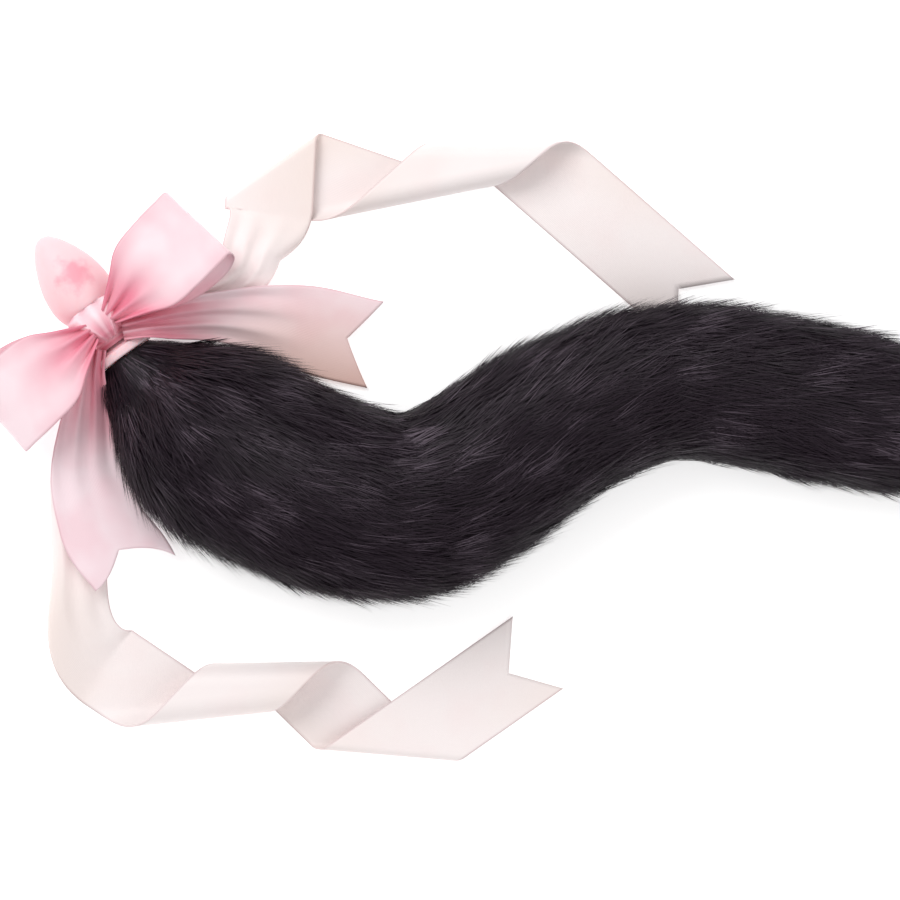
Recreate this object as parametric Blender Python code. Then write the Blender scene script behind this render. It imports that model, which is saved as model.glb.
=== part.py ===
"""Faux-fur cat tail on a tapered silicone plug with a flared base, tied with a satin ribbon bow.

The object lies flat, as it would on a table. +X runs along the tail and +Z is up. Lengths are in metres
and angles in degrees. A heading is measured from +X towards +Y. The pieces are laid out from the root,
the point where the base of the plug meets the tail, and the finished object is then moved so that the
origin is on the floor under the middle of its bounding box.
"""

import math

import bmesh
import bpy
import numpy as np
from mathutils import Matrix, Vector

# Clearance between neighbouring pieces
GAP = 0.0004

# Plug: bulb, neck and flared base in one moulding
PLUG_DIAMETER = 0.029
BULB_LENGTH = 0.0435
NECK_DIAMETER = 0.011
NECK_LENGTH = 0.0152
BASE_DIAMETER = 0.027
BASE_THICKNESS = 0.0036
BASE_DOME = 0.0024
PLUG_HEADING = 126.0
PLUG_SEGMENTS = 24

# Ribbon: one satin ribbon width for bow, ends and streamers
RIBBON_WIDTH = 0.038
RIBBON_THICKNESS = 0.001
RIBBON_COLUMNS = 8
LOOP_RUNGS = 27
SHORT_END_RUNGS = 16
DEGREES_PER_RUNG = 26.0
END_RUNGS = 4
PLEAT_WAVES = 1.5
PLEAT_DEPTH = 0.0016

# Wrap of ribbon round the neck
WRAP_THICKNESS = 0.0028
WRAP_WIDTH = 0.0105

# Knot of the bow
KNOT_LENGTH = 0.0165
KNOT_WIDTH = 0.020
KNOT_HEIGHT = 0.0095
KNOT_CENTRE = 0.0175
KNOT_RIDGES = 5
KNOT_RIDGE_DEPTH = 0.0007

# Bow loops
LOOP_LENGTH = 0.060
LOOP_HEIGHT = 0.0260
LOOP_RIGHT_HEADING = 47.0
LOOP_LEFT_HEADING = 221.5

# Short swallow-tailed ends
END_RIGHT_REACH = 0.1145
END_LEFT_REACH = 0.1050
END_NOTCH = 0.0120

# Long streamers: reach of the gathered lead-in, and flat length after the last bend
UPPER_LEAD_REACH = 0.0873
UPPER_LAST_RUN = 0.1006
LOWER_LEAD_REACH = 0.1340
LOWER_LAST_RUN = 0.0721
STREAMER_NOTCH = 0.0155
FOLD_RADIUS = 0.0022
SOFT_FOLD_RADIUS = 0.0030
UPPER_CURL_RADIUS = 0.0070
LOWER_CURL_RADIUS = 0.0089
EDGE_CURL_RADIUS = 0.0055

# Fur tail
TAIL_LENGTH = 0.440
TAIL_WIDTH = 0.0835
TAIL_HEIGHT = 0.0600
LOCK_DEPTH = 0.0045
LOCK_LENGTH = 0.0180
LOCKS_AROUND = 10
RINGS_PER_LOCK = 3
COLUMNS_PER_LOCK = 3

PLUG_RADIUS = PLUG_DIAMETER / 2
AXIS_HEIGHT = PLUG_RADIUS + GAP
WRAP_RADIUS = NECK_DIAMETER / 2 + GAP + WRAP_THICKNESS

# Bulb outline: share of the bulb's length from its tip, share of its radius
BULB_OUTLINE = (
    (0.00, 0.00),
    (0.015, 0.15),
    (0.06, 0.32),
    (0.17, 0.56),
    (0.31, 0.765),
    (0.46, 0.92),
    (0.57, 0.98),
    (0.67, 1.00),
    (0.77, 0.97),
    (0.86, 0.86),
    (0.94, 0.65),
    (1.00, 0.42),
)

# Knot sections: share of its length from the plug's side, share of its width, share of its height
KNOT_SECTIONS = (
    (0.00, 0.72, 0.30),
    (0.08, 0.95, 0.62),
    (0.25, 1.00, 0.86),
    (0.50, 0.80, 1.00),
    (0.75, 0.55, 0.90),
    (0.93, 0.40, 0.66),
    (1.00, 0.30, 0.40),
)

# Loop sections: share along the ribbon, share of the length out from the knot, height over the root as
# a share of LOOP_HEIGHT, share of the ribbon's width spanned, sideways shift as a share of that width
LOOP_SECTIONS = (
    (0.00, 0.20, 0.00, 0.27, 0.00),
    (0.08, 0.28, -0.03, 0.52, 0.01),
    (0.20, 0.47, -0.20, 0.84, 0.06),
    (0.33, 0.72, -0.50, 0.97, 0.11),
    (0.43, 0.92, -0.64, 1.00, 0.10),
    (0.48, 0.99, -0.52, 1.00, 0.06),
    (0.51, 1.00, -0.34, 1.00, 0.03),
    (0.55, 0.99, -0.12, 1.00, 0.00),
    (0.61, 0.90, 0.06, 1.00, 0.00),
    (0.72, 0.68, 0.26, 0.99, 0.00),
    (0.84, 0.45, 0.30, 0.90, 0.00),
    (0.94, 0.28, 0.22, 0.58, 0.00),
    (1.00, 0.20, 0.14, 0.27, 0.00),
)

# Sections of the short ends and of the streamers' lead-ins: share along, height of the middle as a share
# of the plug's axis height, share of the ribbon's width spanned, tilt with the right-hand side upwards,
# and angle of the curled edge, negative where it is the right-hand one
END_RIGHT_SECTIONS = (
    (0.00, 1.74, 0.26, 0.0, 0.0),
    (0.07, 1.74, 0.30, 8.0, 0.0),
    (0.19, 1.22, 0.43, 0.0, 0.0),
    (0.38, 0.76, 0.58, -3.0, 0.0),
    (0.53, 0.54, 0.77, -5.0, 0.0),
    (0.71, 0.32, 0.97, -4.0, 0.0),
    (1.00, 0.07, 1.00, 0.0, 0.0),
)
END_LEFT_SECTIONS = (
    (0.00, 1.66, 0.26, 0.0, 0.0),
    (0.08, 1.58, 0.30, -4.0, 0.0),
    (0.22, 1.12, 0.50, 5.0, 0.0),
    (0.46, 0.97, 0.75, 9.0, 0.0),
    (0.68, 0.93, 0.95, 9.0, 0.0),
    (0.82, 0.86, 1.00, 10.0, 0.0),
    (1.00, 0.70, 1.00, 12.0, 0.0),
)
UPPER_LEAD_SECTIONS = (
    (0.00, 1.20, 0.26, 0.0, 0.0),
    (0.15, 0.98, 0.32, 0.0, 0.0),
    (0.35, 0.60, 0.44, 0.0, 0.0),
    (0.55, 0.44, 0.52, 0.0, -50.0),
    (0.72, 0.50, 0.66, 0.0, -95.0),
    (0.88, 0.46, 0.80, 0.0, -85.0),
    (1.00, 0.34, 1.00, 0.0, 0.0),
)
LOWER_LEAD_SECTIONS = (
    (0.00, 1.15, 0.25, 0.0, 0.0),
    (0.10, 1.00, 0.27, 0.0, 0.0),
    (0.30, 0.66, 0.60, 4.0, -40.0),
    (0.55, 0.55, 0.76, 10.0, -120.0),
    (0.70, 0.59, 0.78, 14.0, -150.0),
    (0.82, 0.53, 0.80, 13.0, -135.0),
    (0.92, 0.38, 0.86, 7.0, -100.0),
    (1.00, 0.036, 1.00, 0.0, 0.0),
)

# Where each gathered ribbon starts beside the neck, as a share of the wrap's radius, and its heading there
END_RIGHT_START = (1.08, 10.0)
END_LEFT_START = (-1.40, -100.0)
UPPER_START = (1.27, 38.0)
LOWER_START = (-1.60, -104.0)

# Course of each gathered ribbon in plan: bearing from the root, share of its reach, heading
END_RIGHT_COURSE = (
    (20.5, 0.420, -2.0),
    (2.7, 0.935, -11.0),
)
END_LEFT_COURSE = (
    (-111.0, 0.457, -91.0),
    (-98.2, 0.689, -73.0),
    (-87.6, 0.889, -66.0),
)
UPPER_COURSE = (
    (39.3, 0.790, 79.0),
    (45.7, 1.000, 87.0),
)
LOWER_COURSE = (
    (-102.5, 0.672, -90.0),
    (-93.7, 1.000, -34.0),
)

# Bends of the flat streamers: flat run before it as a share of the ribbon's width, angle of its ruling
# from the ribbon's direction, radius, and turn, positive where the ribbon turns towards its upper side
UPPER_BENDS = (
    (0.437, 127.0, FOLD_RADIUS, -180.0),
    (1.017, 149.6, UPPER_CURL_RADIUS, -183.0),
    (0.316, 138.5, UPPER_CURL_RADIUS, -176.7),
)
LOWER_BENDS = (
    (0.708, 40.2, LOWER_CURL_RADIUS, 180.0),
    (0.161, 45.5, LOWER_CURL_RADIUS, 180.0),
    (1.035, 39.8, SOFT_FOLD_RADIUS, 186.0),
)

# Tail sections: share of the length, heading, share of the width, share of the height
TAIL_SECTIONS = (
    (0.000, -54.0, 0.29, 0.40),
    (0.022, -46.0, 0.45, 0.52),
    (0.056, -41.0, 0.74, 0.74),
    (0.107, -36.0, 0.96, 0.93),
    (0.160, -27.0, 1.00, 1.00),
    (0.213, -22.0, 1.00, 1.00),
    (0.265, -11.0, 0.98, 0.98),
    (0.314, 9.0, 0.96, 0.95),
    (0.365, 27.0, 0.93, 0.92),
    (0.421, 33.0, 0.89, 0.90),
    (0.477, 29.0, 0.85, 0.88),
    (0.530, 20.5, 0.82, 0.86),
    (0.581, 8.5, 0.80, 0.85),
    (0.630, -2.5, 0.80, 0.84),
    (0.680, -9.0, 0.80, 0.83),
    (0.730, -11.0, 0.80, 0.82),
    (0.778, -12.0, 0.78, 0.80),
    (0.828, -11.5, 0.74, 0.78),
    (0.880, -10.0, 0.67, 0.72),
    (0.930, -8.0, 0.55, 0.62),
    (0.965, -6.0, 0.41, 0.48),
    (0.988, -5.0, 0.25, 0.32),
    (1.000, -4.0, 0.05, 0.10),
)


def unit(heading):
    """Give the direction of a heading in the floor's plane."""
    angle = math.radians(heading)
    return Vector((math.cos(angle), math.sin(angle), 0.0))


def by_axis(along, aside):
    """Give the place at a distance along the plug's axis from the root, and aside from it."""
    return unit(PLUG_HEADING) * along + unit(PLUG_HEADING - 90) * aside


def row_at(rows, share):
    """Read a table on a smooth curve through its rows, at a share in its first column."""
    table = np.array(rows)
    keys, values = table[:, 0], table[:, 1:]
    slopes = np.gradient(values, keys, axis=0)
    place = int(np.clip(np.searchsorted(keys, share) - 1, 0, len(keys) - 2))
    step = keys[place + 1] - keys[place]
    t = min(max((share - keys[place]) / step, 0.0), 1.0)
    start = (1 + 2 * t) * (1 - t) ** 2 * values[place] + t * (1 - t) ** 2 * step * slopes[place]
    end = t * t * (3 - 2 * t) * values[place + 1] - t * t * (1 - t) * step * slopes[place + 1]
    return start + end


def ease(share):
    """Give a smooth step from 0 to 1."""
    t = min(max(share, 0.0), 1.0)
    return t * t * (3 - 2 * t)


def material(name, colour, roughness):
    """Make the plain material of one kind of piece."""
    made = bpy.data.materials.new(name)
    made.use_nodes = True
    shader = made.node_tree.nodes["Principled BSDF"]
    shader.inputs["Base Color"].default_value = (*colour, 1.0)
    shader.inputs["Roughness"].default_value = roughness
    shader.inputs["Metallic"].default_value = 0.0
    return made


def add_object(name, points, faces, finish, parent):
    """Make an object from points and faces, with its faces turned outwards."""
    mesh = bpy.data.meshes.new(name)
    mesh.from_pydata([tuple(point) for point in points], [], faces)
    work = bmesh.new()
    work.from_mesh(mesh)
    bmesh.ops.recalc_face_normals(work, faces=work.faces)
    work.to_mesh(mesh)
    work.free()
    mesh.shade_smooth()
    mesh.set_sharp_from_angle(angle=math.radians(50))
    mesh.materials.append(finish)
    made = bpy.data.objects.new(name, mesh)
    bpy.context.collection.objects.link(made)
    made.parent = parent
    return made


def closed_rings(rings):
    """Join rings of equal length into a closed body, with a fan at each end."""
    count = len(rings[0])
    points = [point for ring in rings for point in ring]
    faces = []
    for ring in range(len(rings) - 1):
        for i in range(count):
            a = ring * count + i
            b = ring * count + (i + 1) % count
            faces.append((a, b, b + count, a + count))
    for first in (0, (len(rings) - 1) * count):
        centre = sum((Vector(points[first + i]) for i in range(count)), Vector()) / count
        points.append(centre)
        for i in range(count):
            faces.append((first + i, first + (i + 1) % count, len(points) - 1))
    return points, faces


def ribbon_object(name, rungs, finish, parent):
    """Make a ribbon from its rungs, each a row of points across it, and give it a thickness."""
    columns = len(rungs[0])
    points = [point for rung in rungs for point in rung]
    faces = []
    for i in range(len(rungs) - 1):
        for j in range(columns - 1):
            a = i * columns + j
            faces.append((a, a + 1, a + 1 + columns, a + columns))
    mesh = bpy.data.meshes.new(name)
    mesh.from_pydata([tuple(point) for point in points], [], faces)
    mesh.shade_smooth()
    mesh.materials.append(finish)
    made = bpy.data.objects.new(name, mesh)
    bpy.context.collection.objects.link(made)
    made.parent = parent
    wall = made.modifiers.new("Wall", "SOLIDIFY")
    wall.thickness = RIBBON_THICKNESS
    wall.offset = 0.0
    wall.use_even_offset = False
    return made


def across_section(share, spanned, curl):
    """Give the sideways place and height of a point across the ribbon.

    share runs from -1 at the right-hand edge to 1 at the left. A gathered ribbon spans a part of its
    width in pleats. A positive curl turns the left edge down and under, a negative one the right edge.
    """
    side = 1.0 if curl >= 0 else -1.0
    angle = math.radians(abs(curl))
    flat = RIBBON_WIDTH - EDGE_CURL_RADIUS * angle
    reach = flat + EDGE_CURL_RADIUS * math.sin(min(angle, math.pi / 2))
    place = (side * share + 1) / 2 * RIBBON_WIDTH
    turned = max(place - flat, 0.0) / EDGE_CURL_RADIUS
    sideways = min(place, flat) + EDGE_CURL_RADIUS * math.sin(turned) - reach / 2
    drop = EDGE_CURL_RADIUS * (1 - math.cos(turned))
    pleat = PLEAT_DEPTH * min((1 - spanned) * 1.6, 1.0)
    wave = -pleat * math.cos(2 * math.pi * PLEAT_WAVES * share)
    return side * sideways * spanned, wave - drop


class SoftStrip:
    """A gathered ribbon from its start beside the neck along its course, with a table of sections."""

    def __init__(self, start, course, reach, rows):
        aside, heading = start
        along = KNOT_CENTRE - 0.48 * KNOT_LENGTH
        stops = [(by_axis(along, aside * WRAP_RADIUS), heading)]
        stops += [(unit(bearing) * (share * reach), onward) for bearing, share, onward in course]
        self.stops = stops
        self.curves = []
        for (start, start_heading), (end, end_heading) in zip(stops, stops[1:]):
            handle = (end - start).length * 0.36
            self.curves.append(
                (start, start + unit(start_heading) * handle, end - unit(end_heading) * handle, end)
            )
        lengths = [(curve[3] - curve[0]).length for curve in self.curves]
        self.shares = [sum(lengths[:i]) / sum(lengths) for i in range(len(lengths) + 1)]
        self.length = sum(lengths)
        self.rows = rows

    def point(self, share, across):
        """Place the point at a share along the strip and a share across it."""
        part = sum(share > edge for edge in self.shares[1:-1])
        a, b, c, d = self.curves[part]
        t = (share - self.shares[part]) / (self.shares[part + 1] - self.shares[part])
        middle = a * (1 - t) ** 3 + b * 3 * t * (1 - t) ** 2 + c * 3 * t * t * (1 - t) + d * t**3
        run = (b - a) * (1 - t) ** 2 + (c - b) * 2 * t * (1 - t) + (d - c) * t * t
        left = Vector((-run.y, run.x, 0.0)).normalized()
        height, spanned, tilt, curl = row_at(self.rows, share)
        sideways, lift = across_section(across, spanned, curl)
        lean = math.radians(tilt)
        place = middle + left * (sideways * math.cos(lean) + lift * math.sin(lean))
        place.z = height * AXIS_HEIGHT + lift * math.cos(lean) - sideways * math.sin(lean)
        return place


def across_shares(columns=RIBBON_COLUMNS):
    """Give the shares of the points across a ribbon, from its right-hand edge to its left."""
    return [2 * j / columns - 1 for j in range(columns + 1)]


def folded(u, v, bends):
    """Place a point of the flat ribbon after its bends.

    u runs along the ribbon and v across it, to the left. Each bend is a row of its place along the
    middle, the angle of its ruling from the ribbon's direction, its radius and its turn.
    """
    point = Vector((u, v, 0.0))
    for place, ruling, radius, turn in reversed(bends):
        angle = math.radians(ruling)
        onward = Vector((math.sin(angle), -math.cos(angle), 0.0))
        along = Vector((math.cos(angle), math.sin(angle), 0.0))
        origin = Vector((place, 0.0, 0.0))
        past = (Vector((u, v, 0.0)) - origin).dot(onward)
        if past <= 0:
            continue
        side = math.copysign(1.0, turn)
        full = math.radians(abs(turn))
        arc = radius * full
        rolled = min(past / radius, full)
        local = point - origin
        extra = local.dot(onward) - arc if past > arc else 0.0
        height = side * local.z
        forward = radius * math.sin(rolled) + extra * math.cos(rolled) - height * math.sin(rolled)
        upward = radius * (1 - math.cos(rolled)) + extra * math.sin(rolled) + height * math.cos(rolled)
        point = origin + along * local.dot(along) + onward * forward
        point.z = side * upward
    return point


def placed_bends(rows):
    """Turn the flat runs of a table of bends into places along the middle, and give the flat end too."""
    bends = []
    place = 0.0
    for run, ruling, radius, turn in rows:
        place += run * RIBBON_WIDTH
        bends.append((place, ruling, radius, turn))
        place += radius * math.radians(abs(turn)) / math.sin(math.radians(ruling))
    return bends, place


def streamer_rungs(lead, lead_rungs, height, last_run, bend_rows):
    """Give the rungs of a streamer: its gathered lead-in, then its flat stretches and bends."""
    shares = across_shares()
    rungs = [[lead.point(i / lead_rungs, v) for v in shares] for i in range(lead_rungs)]
    anchor, heading = lead.stops[-1]
    frame = Matrix.Translation((anchor.x, anchor.y, height)) @ Matrix.Rotation(
        math.radians(heading), 4, "Z"
    )
    bends, flat_end = placed_bends(bend_rows)
    half = RIBBON_WIDTH / 2
    # each line across the ribbon: its place on the middle, its skew, and the depth of its V
    lines = [(0.0, 0.0, 0.0)]
    for place, ruling, radius, turn in bends:
        skew = 1 / math.tan(math.radians(ruling))
        stretch = radius * math.radians(abs(turn)) / math.sin(math.radians(ruling))
        steps = max(4, math.ceil(abs(turn) / DEGREES_PER_RUNG))
        before = lines[-1]
        if place - before[0] > 0.6 * RIBBON_WIDTH:
            lines.append(((before[0] + place) / 2, (before[1] + skew) / 2, 0.0))
        lines += [(place + stretch * i / steps, skew, 0.0) for i in range(steps + 1)]
    last = lines[-1]
    notch = (flat_end + last_run - STREAMER_NOTCH, 0.0, STREAMER_NOTCH / half)
    for i in range(1, END_RUNGS + 1):
        t = i / END_RUNGS
        lines.append(tuple(last[k] + (notch[k] - last[k]) * t for k in range(3)))
    for place, skew, vee in lines:
        row = []
        for share in shares:
            v = share * half
            row.append(frame @ folded(place + skew * v + vee * abs(v), v, bends))
        rungs.append(row)
    return rungs


def end_rungs(strip, count):
    """Give the rungs of a short end, whose last rungs take the shape of its swallow-tail notch."""
    rungs = []
    for i in range(count + 1):
        share = i / count
        cut = END_NOTCH / strip.length * ease((share - 0.45) / 0.55)
        rungs.append([strip.point(share - cut * (1 - abs(v)), v) for v in across_shares()])
    return rungs


def plug_radius_at(distance):
    """Give the plug's radius at a distance along its axis from the root."""
    from_tip = (NECK_LENGTH + BASE_THICKNESS + BULB_LENGTH - distance) / BULB_LENGTH
    if from_tip >= 1:
        return NECK_DIAMETER / 2
    return max(PLUG_RADIUS * row_at(BULB_OUTLINE, max(from_tip, 0.0))[0], NECK_DIAMETER / 2)


def turned(name, outline, segments, finish, parent):
    """Turn an outline of distances along the axis and radii, and lay it on the plug's axis."""
    rings = []
    for distance, radius in outline:
        ring = []
        for i in range(segments):
            angle = 2 * math.pi * i / segments
            ring.append((distance, radius * math.cos(angle), radius * math.sin(angle)))
        rings.append(ring)
    points, faces = closed_rings(rings)
    made = add_object(name, points, faces, finish, parent)
    made.location = (0.0, 0.0, AXIS_HEIGHT)
    made.rotation_euler = (0.0, 0.0, math.radians(PLUG_HEADING))
    return made


def add_plug(finish, parent):
    """Make the plug: a domed base, a neck and a tapered bulb, in one moulding."""
    rim = BASE_DIAMETER / 2
    steps = 5
    outline = []
    for i in range(1, steps + 1):
        share = i / steps
        outline.append((BASE_DOME * (1 - share**2) * 0.6, rim * share * 0.96))
    outline.append((0.35 * BASE_THICKNESS, rim))
    outline.append((0.70 * BASE_THICKNESS, rim))
    for i in range(steps):
        share = 1 - (i + 0.3) / steps
        dome = BASE_THICKNESS + BASE_DOME * (1 - share**2)
        outline.append((dome, max(rim * share, NECK_DIAMETER / 2)))
    neck_end = BASE_THICKNESS + NECK_LENGTH
    outline.append((neck_end - 0.12 * NECK_LENGTH, NECK_DIAMETER / 2))
    for i in range(13):
        share = 1 - i / 13
        outline.append((neck_end + BULB_LENGTH * (1 - share), PLUG_RADIUS * row_at(BULB_OUTLINE, share)[0]))
    outline.append((neck_end + BULB_LENGTH * 0.975, PLUG_RADIUS * row_at(BULB_OUTLINE, 0.025)[0]))
    outline.append((neck_end + BULB_LENGTH * 0.993, PLUG_RADIUS * row_at(BULB_OUTLINE, 0.007)[0]))
    return turned("plug", outline, PLUG_SEGMENTS, finish, parent)


def add_neck_wrap(finish, parent):
    """Make the turns of ribbon wound round the neck, as a ring that the neck passes through."""
    start = BASE_THICKNESS + BASE_DOME + GAP
    inner = NECK_DIAMETER / 2 + GAP
    outline = (
        (0.00, 0.0),
        (0.00, 0.75),
        (0.10, 1.0),
        (0.42, 1.0),
        (0.50, 0.82),
        (0.58, 1.0),
        (0.90, 1.0),
        (1.00, 0.75),
        (1.00, 0.0),
    )
    rings = []
    for along, out in outline:
        radius = inner + WRAP_THICKNESS * out
        ring = []
        for i in range(PLUG_SEGMENTS):
            angle = 2 * math.pi * i / PLUG_SEGMENTS
            ring.append(
                (start + WRAP_WIDTH * along, radius * math.cos(angle), radius * math.sin(angle))
            )
        rings.append(ring)
    points = [point for ring in rings for point in ring]
    faces = []
    for k in range(len(rings)):
        for i in range(PLUG_SEGMENTS):
            here, there = k * PLUG_SEGMENTS, (k + 1) % len(rings) * PLUG_SEGMENTS
            onward = (i + 1) % PLUG_SEGMENTS
            faces.append((here + i, here + onward, there + onward, there + i))
    made = add_object("neck_wrap", points, faces, finish, parent)
    made.location = (0.0, 0.0, AXIS_HEIGHT)
    made.rotation_euler = (0.0, 0.0, math.radians(PLUG_HEADING))
    return made


def add_knot(finish, parent):
    """Make the knot: a pleated band over the gathered loops, wide towards the plug and pinched behind."""
    onward, left = unit(PLUG_HEADING), unit(PLUG_HEADING + 90)
    sides = 24
    rings = []
    for row in KNOT_SECTIONS:
        share, wide, high = row
        along = KNOT_CENTRE + KNOT_LENGTH * (0.5 - share)
        under = AXIS_HEIGHT + max(WRAP_RADIUS, plug_radius_at(along + 0.001)) + GAP
        top = AXIS_HEIGHT + WRAP_RADIUS + GAP + KNOT_HEIGHT * high
        top = max(top, under + 0.35 * KNOT_HEIGHT * high)
        ring = []
        for i in range(sides):
            angle = 2 * math.pi * i / sides
            x = math.copysign(abs(math.cos(angle)) ** 0.75, math.cos(angle))
            z = math.sin(angle)
            ridge = KNOT_RIDGE_DEPTH * math.cos(math.pi * KNOT_RIDGES * x) if z > 0 else 0.0
            height = under + (top - under + ridge) * (0.5 + 0.5 * z)
            place = onward * along + left * (x * wide * KNOT_WIDTH / 2)
            ring.append((place.x, place.y, height))
        rings.append(ring)
    points, faces = closed_rings(rings)
    return add_object("bow_knot", points, faces, finish, parent)


def add_loop(name, heading, finish, parent):
    """Make a bow loop: the ribbon goes out below, turns at the far edge and comes back above."""
    knot = unit(PLUG_HEADING) * (KNOT_CENTRE - 0.1 * KNOT_LENGTH)
    root_height = AXIS_HEIGHT + WRAP_RADIUS + GAP + 0.60 * KNOT_HEIGHT
    onward, left = unit(heading), unit(heading + 90)
    rungs = []
    for i in range(LOOP_RUNGS + 1):
        out, rise, spanned, shift = row_at(LOOP_SECTIONS, i / LOOP_RUNGS)
        rung = []
        for v in across_shares():
            sideways, lift = across_section(v, spanned, 0.0)
            place = knot + onward * (out * LOOP_LENGTH) + left * (sideways - shift * RIBBON_WIDTH)
            place.z = root_height + rise * LOOP_HEIGHT + lift
            rung.append(place)
        rungs.append(rung)
    return ribbon_object(name, rungs, finish, parent)


def add_ends(finish, parent):
    """Make the two short swallow-tailed ends that leave the knot behind the loops."""
    right = SoftStrip(END_RIGHT_START, END_RIGHT_COURSE, END_RIGHT_REACH, END_RIGHT_SECTIONS)
    ribbon_object("bow_end_right", end_rungs(right, SHORT_END_RUNGS), finish, parent)
    left = SoftStrip(END_LEFT_START, END_LEFT_COURSE, END_LEFT_REACH, END_LEFT_SECTIONS)
    ribbon_object("bow_end_left", end_rungs(left, SHORT_END_RUNGS), finish, parent)


def add_streamers(finish, parent):
    """Make the two long streamers, each with its folds and curls and a swallow-tail end."""
    upper = SoftStrip(UPPER_START, UPPER_COURSE, UPPER_LEAD_REACH, UPPER_LEAD_SECTIONS)
    height = 2 * FOLD_RADIUS + 0.9 * RIBBON_THICKNESS
    rungs = streamer_rungs(upper, 13, height, UPPER_LAST_RUN, UPPER_BENDS)
    ribbon_object("streamer_upper", rungs, finish, parent)
    lower = SoftStrip(LOWER_START, LOWER_COURSE, LOWER_LEAD_REACH, LOWER_LEAD_SECTIONS)
    height = 0.9 * RIBBON_THICKNESS
    rungs = streamer_rungs(lower, 17, height, LOWER_LAST_RUN, LOWER_BENDS)
    ribbon_object("streamer_lower", rungs, finish, parent)


def tail_path(count):
    """Walk along the tail's headings and give its stations as share, place and direction."""
    stations = []
    place = unit(PLUG_HEADING) * -GAP
    for i in range(count + 1):
        share = i / count
        heading = row_at(TAIL_SECTIONS, share)[0]
        stations.append((share, place.copy(), heading))
        place += unit(heading) * (TAIL_LENGTH / count)
    return stations


def lock_lift(share, column, columns):
    """Give how far the fur stands out, as pointed locks that lie over each other like shingles."""
    across = column / columns * LOCKS_AROUND
    lock = math.floor(across)
    sideways = abs(2 * (across - lock) - 1)
    phase = (lock * 0.37) % 1.0
    along = (share * TAIL_LENGTH / LOCK_LENGTH - phase) % 1.0
    return LOCK_DEPTH * (along * (1 - 0.55 * sideways) - 0.5)


def add_fur_tail(finish, parent):
    """Make the fur tail's outer form in pointed locks, flattened where it rests on the floor."""
    columns = LOCKS_AROUND * COLUMNS_PER_LOCK
    count = round(TAIL_LENGTH / LOCK_LENGTH) * RINGS_PER_LOCK
    rings = []
    for share, place, heading in tail_path(count):
        wide, high = row_at(TAIL_SECTIONS, share)[1:]
        half_width = wide * TAIL_WIDTH / 2
        half_height = high * TAIL_HEIGHT / 2
        grown = ease(share / 0.05)
        middle = AXIS_HEIGHT * (1 - grown) + 0.94 * half_height * grown
        fade = min(ease(share / 0.03), ease((1 - share) / 0.03))
        left = unit(heading + 90)
        ring = []
        for j in range(columns):
            angle = 2 * math.pi * j / columns
            lift = lock_lift(share, j, columns) * fade
            sideways = (half_width + lift) * math.cos(angle)
            height = middle + (half_height + lift) * math.sin(angle)
            point = place + left * sideways
            ring.append((point.x, point.y, max(height, 0.0)))
        rings.append(ring)
    points, faces = closed_rings(rings)
    return add_object("fur_tail", points, faces, finish, parent)


def set_on_origin(assembly):
    """Move the assembly so that the origin is on the floor under the middle of its bounding box."""
    bpy.context.view_layer.update()
    graph = bpy.context.evaluated_depsgraph_get()
    corners = []
    for piece in assembly.children:
        evaluated = piece.evaluated_get(graph)
        matrix = evaluated.matrix_world
        corners += [matrix @ vertex.co for vertex in evaluated.data.vertices]
    low = Vector([min(corner[k] for corner in corners) for k in range(3)])
    high = Vector([max(corner[k] for corner in corners) for k in range(3)])
    assembly.location = (-(low.x + high.x) / 2, -(low.y + high.y) / 2, -low.z)


def main():
    """Build the whole object."""
    for old in list(bpy.data.objects):
        bpy.data.objects.remove(old)
    silicone = material("silicone", (0.88, 0.55, 0.56), 0.45)
    satin = material("bow_satin", (0.90, 0.58, 0.66), 0.35)
    pale_satin = material("streamer_satin", (0.86, 0.78, 0.75), 0.38)
    fur = material("fur", (0.020, 0.014, 0.020), 0.80)
    assembly = bpy.data.objects.new("assembly", None)
    bpy.context.collection.objects.link(assembly)
    add_plug(silicone, assembly)
    add_neck_wrap(satin, assembly)
    add_knot(satin, assembly)
    add_loop("bow_loop_right", LOOP_RIGHT_HEADING, satin, assembly)
    add_loop("bow_loop_left", LOOP_LEFT_HEADING, satin, assembly)
    add_ends(satin, assembly)
    add_streamers(pale_satin, assembly)
    add_fur_tail(fur, assembly)
    set_on_origin(assembly)


main()
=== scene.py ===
"""Looks of a faux-fur cat tail on a silicone plug, tied with a satin ribbon bow and two long streamers.

Lengths are in metres and angles in degrees. A heading is measured from +X towards +Y. Every piece is laid
out from the root, the point where the plug's base meets the tail, and then moved to its place in the frame.
"""

import logging
import math
from dataclasses import dataclass, field
from enum import Enum
from typing import Callable, Iterable, Sequence

import bmesh
import bpy
import numpy as np
from mathutils import Matrix, Vector

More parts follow.
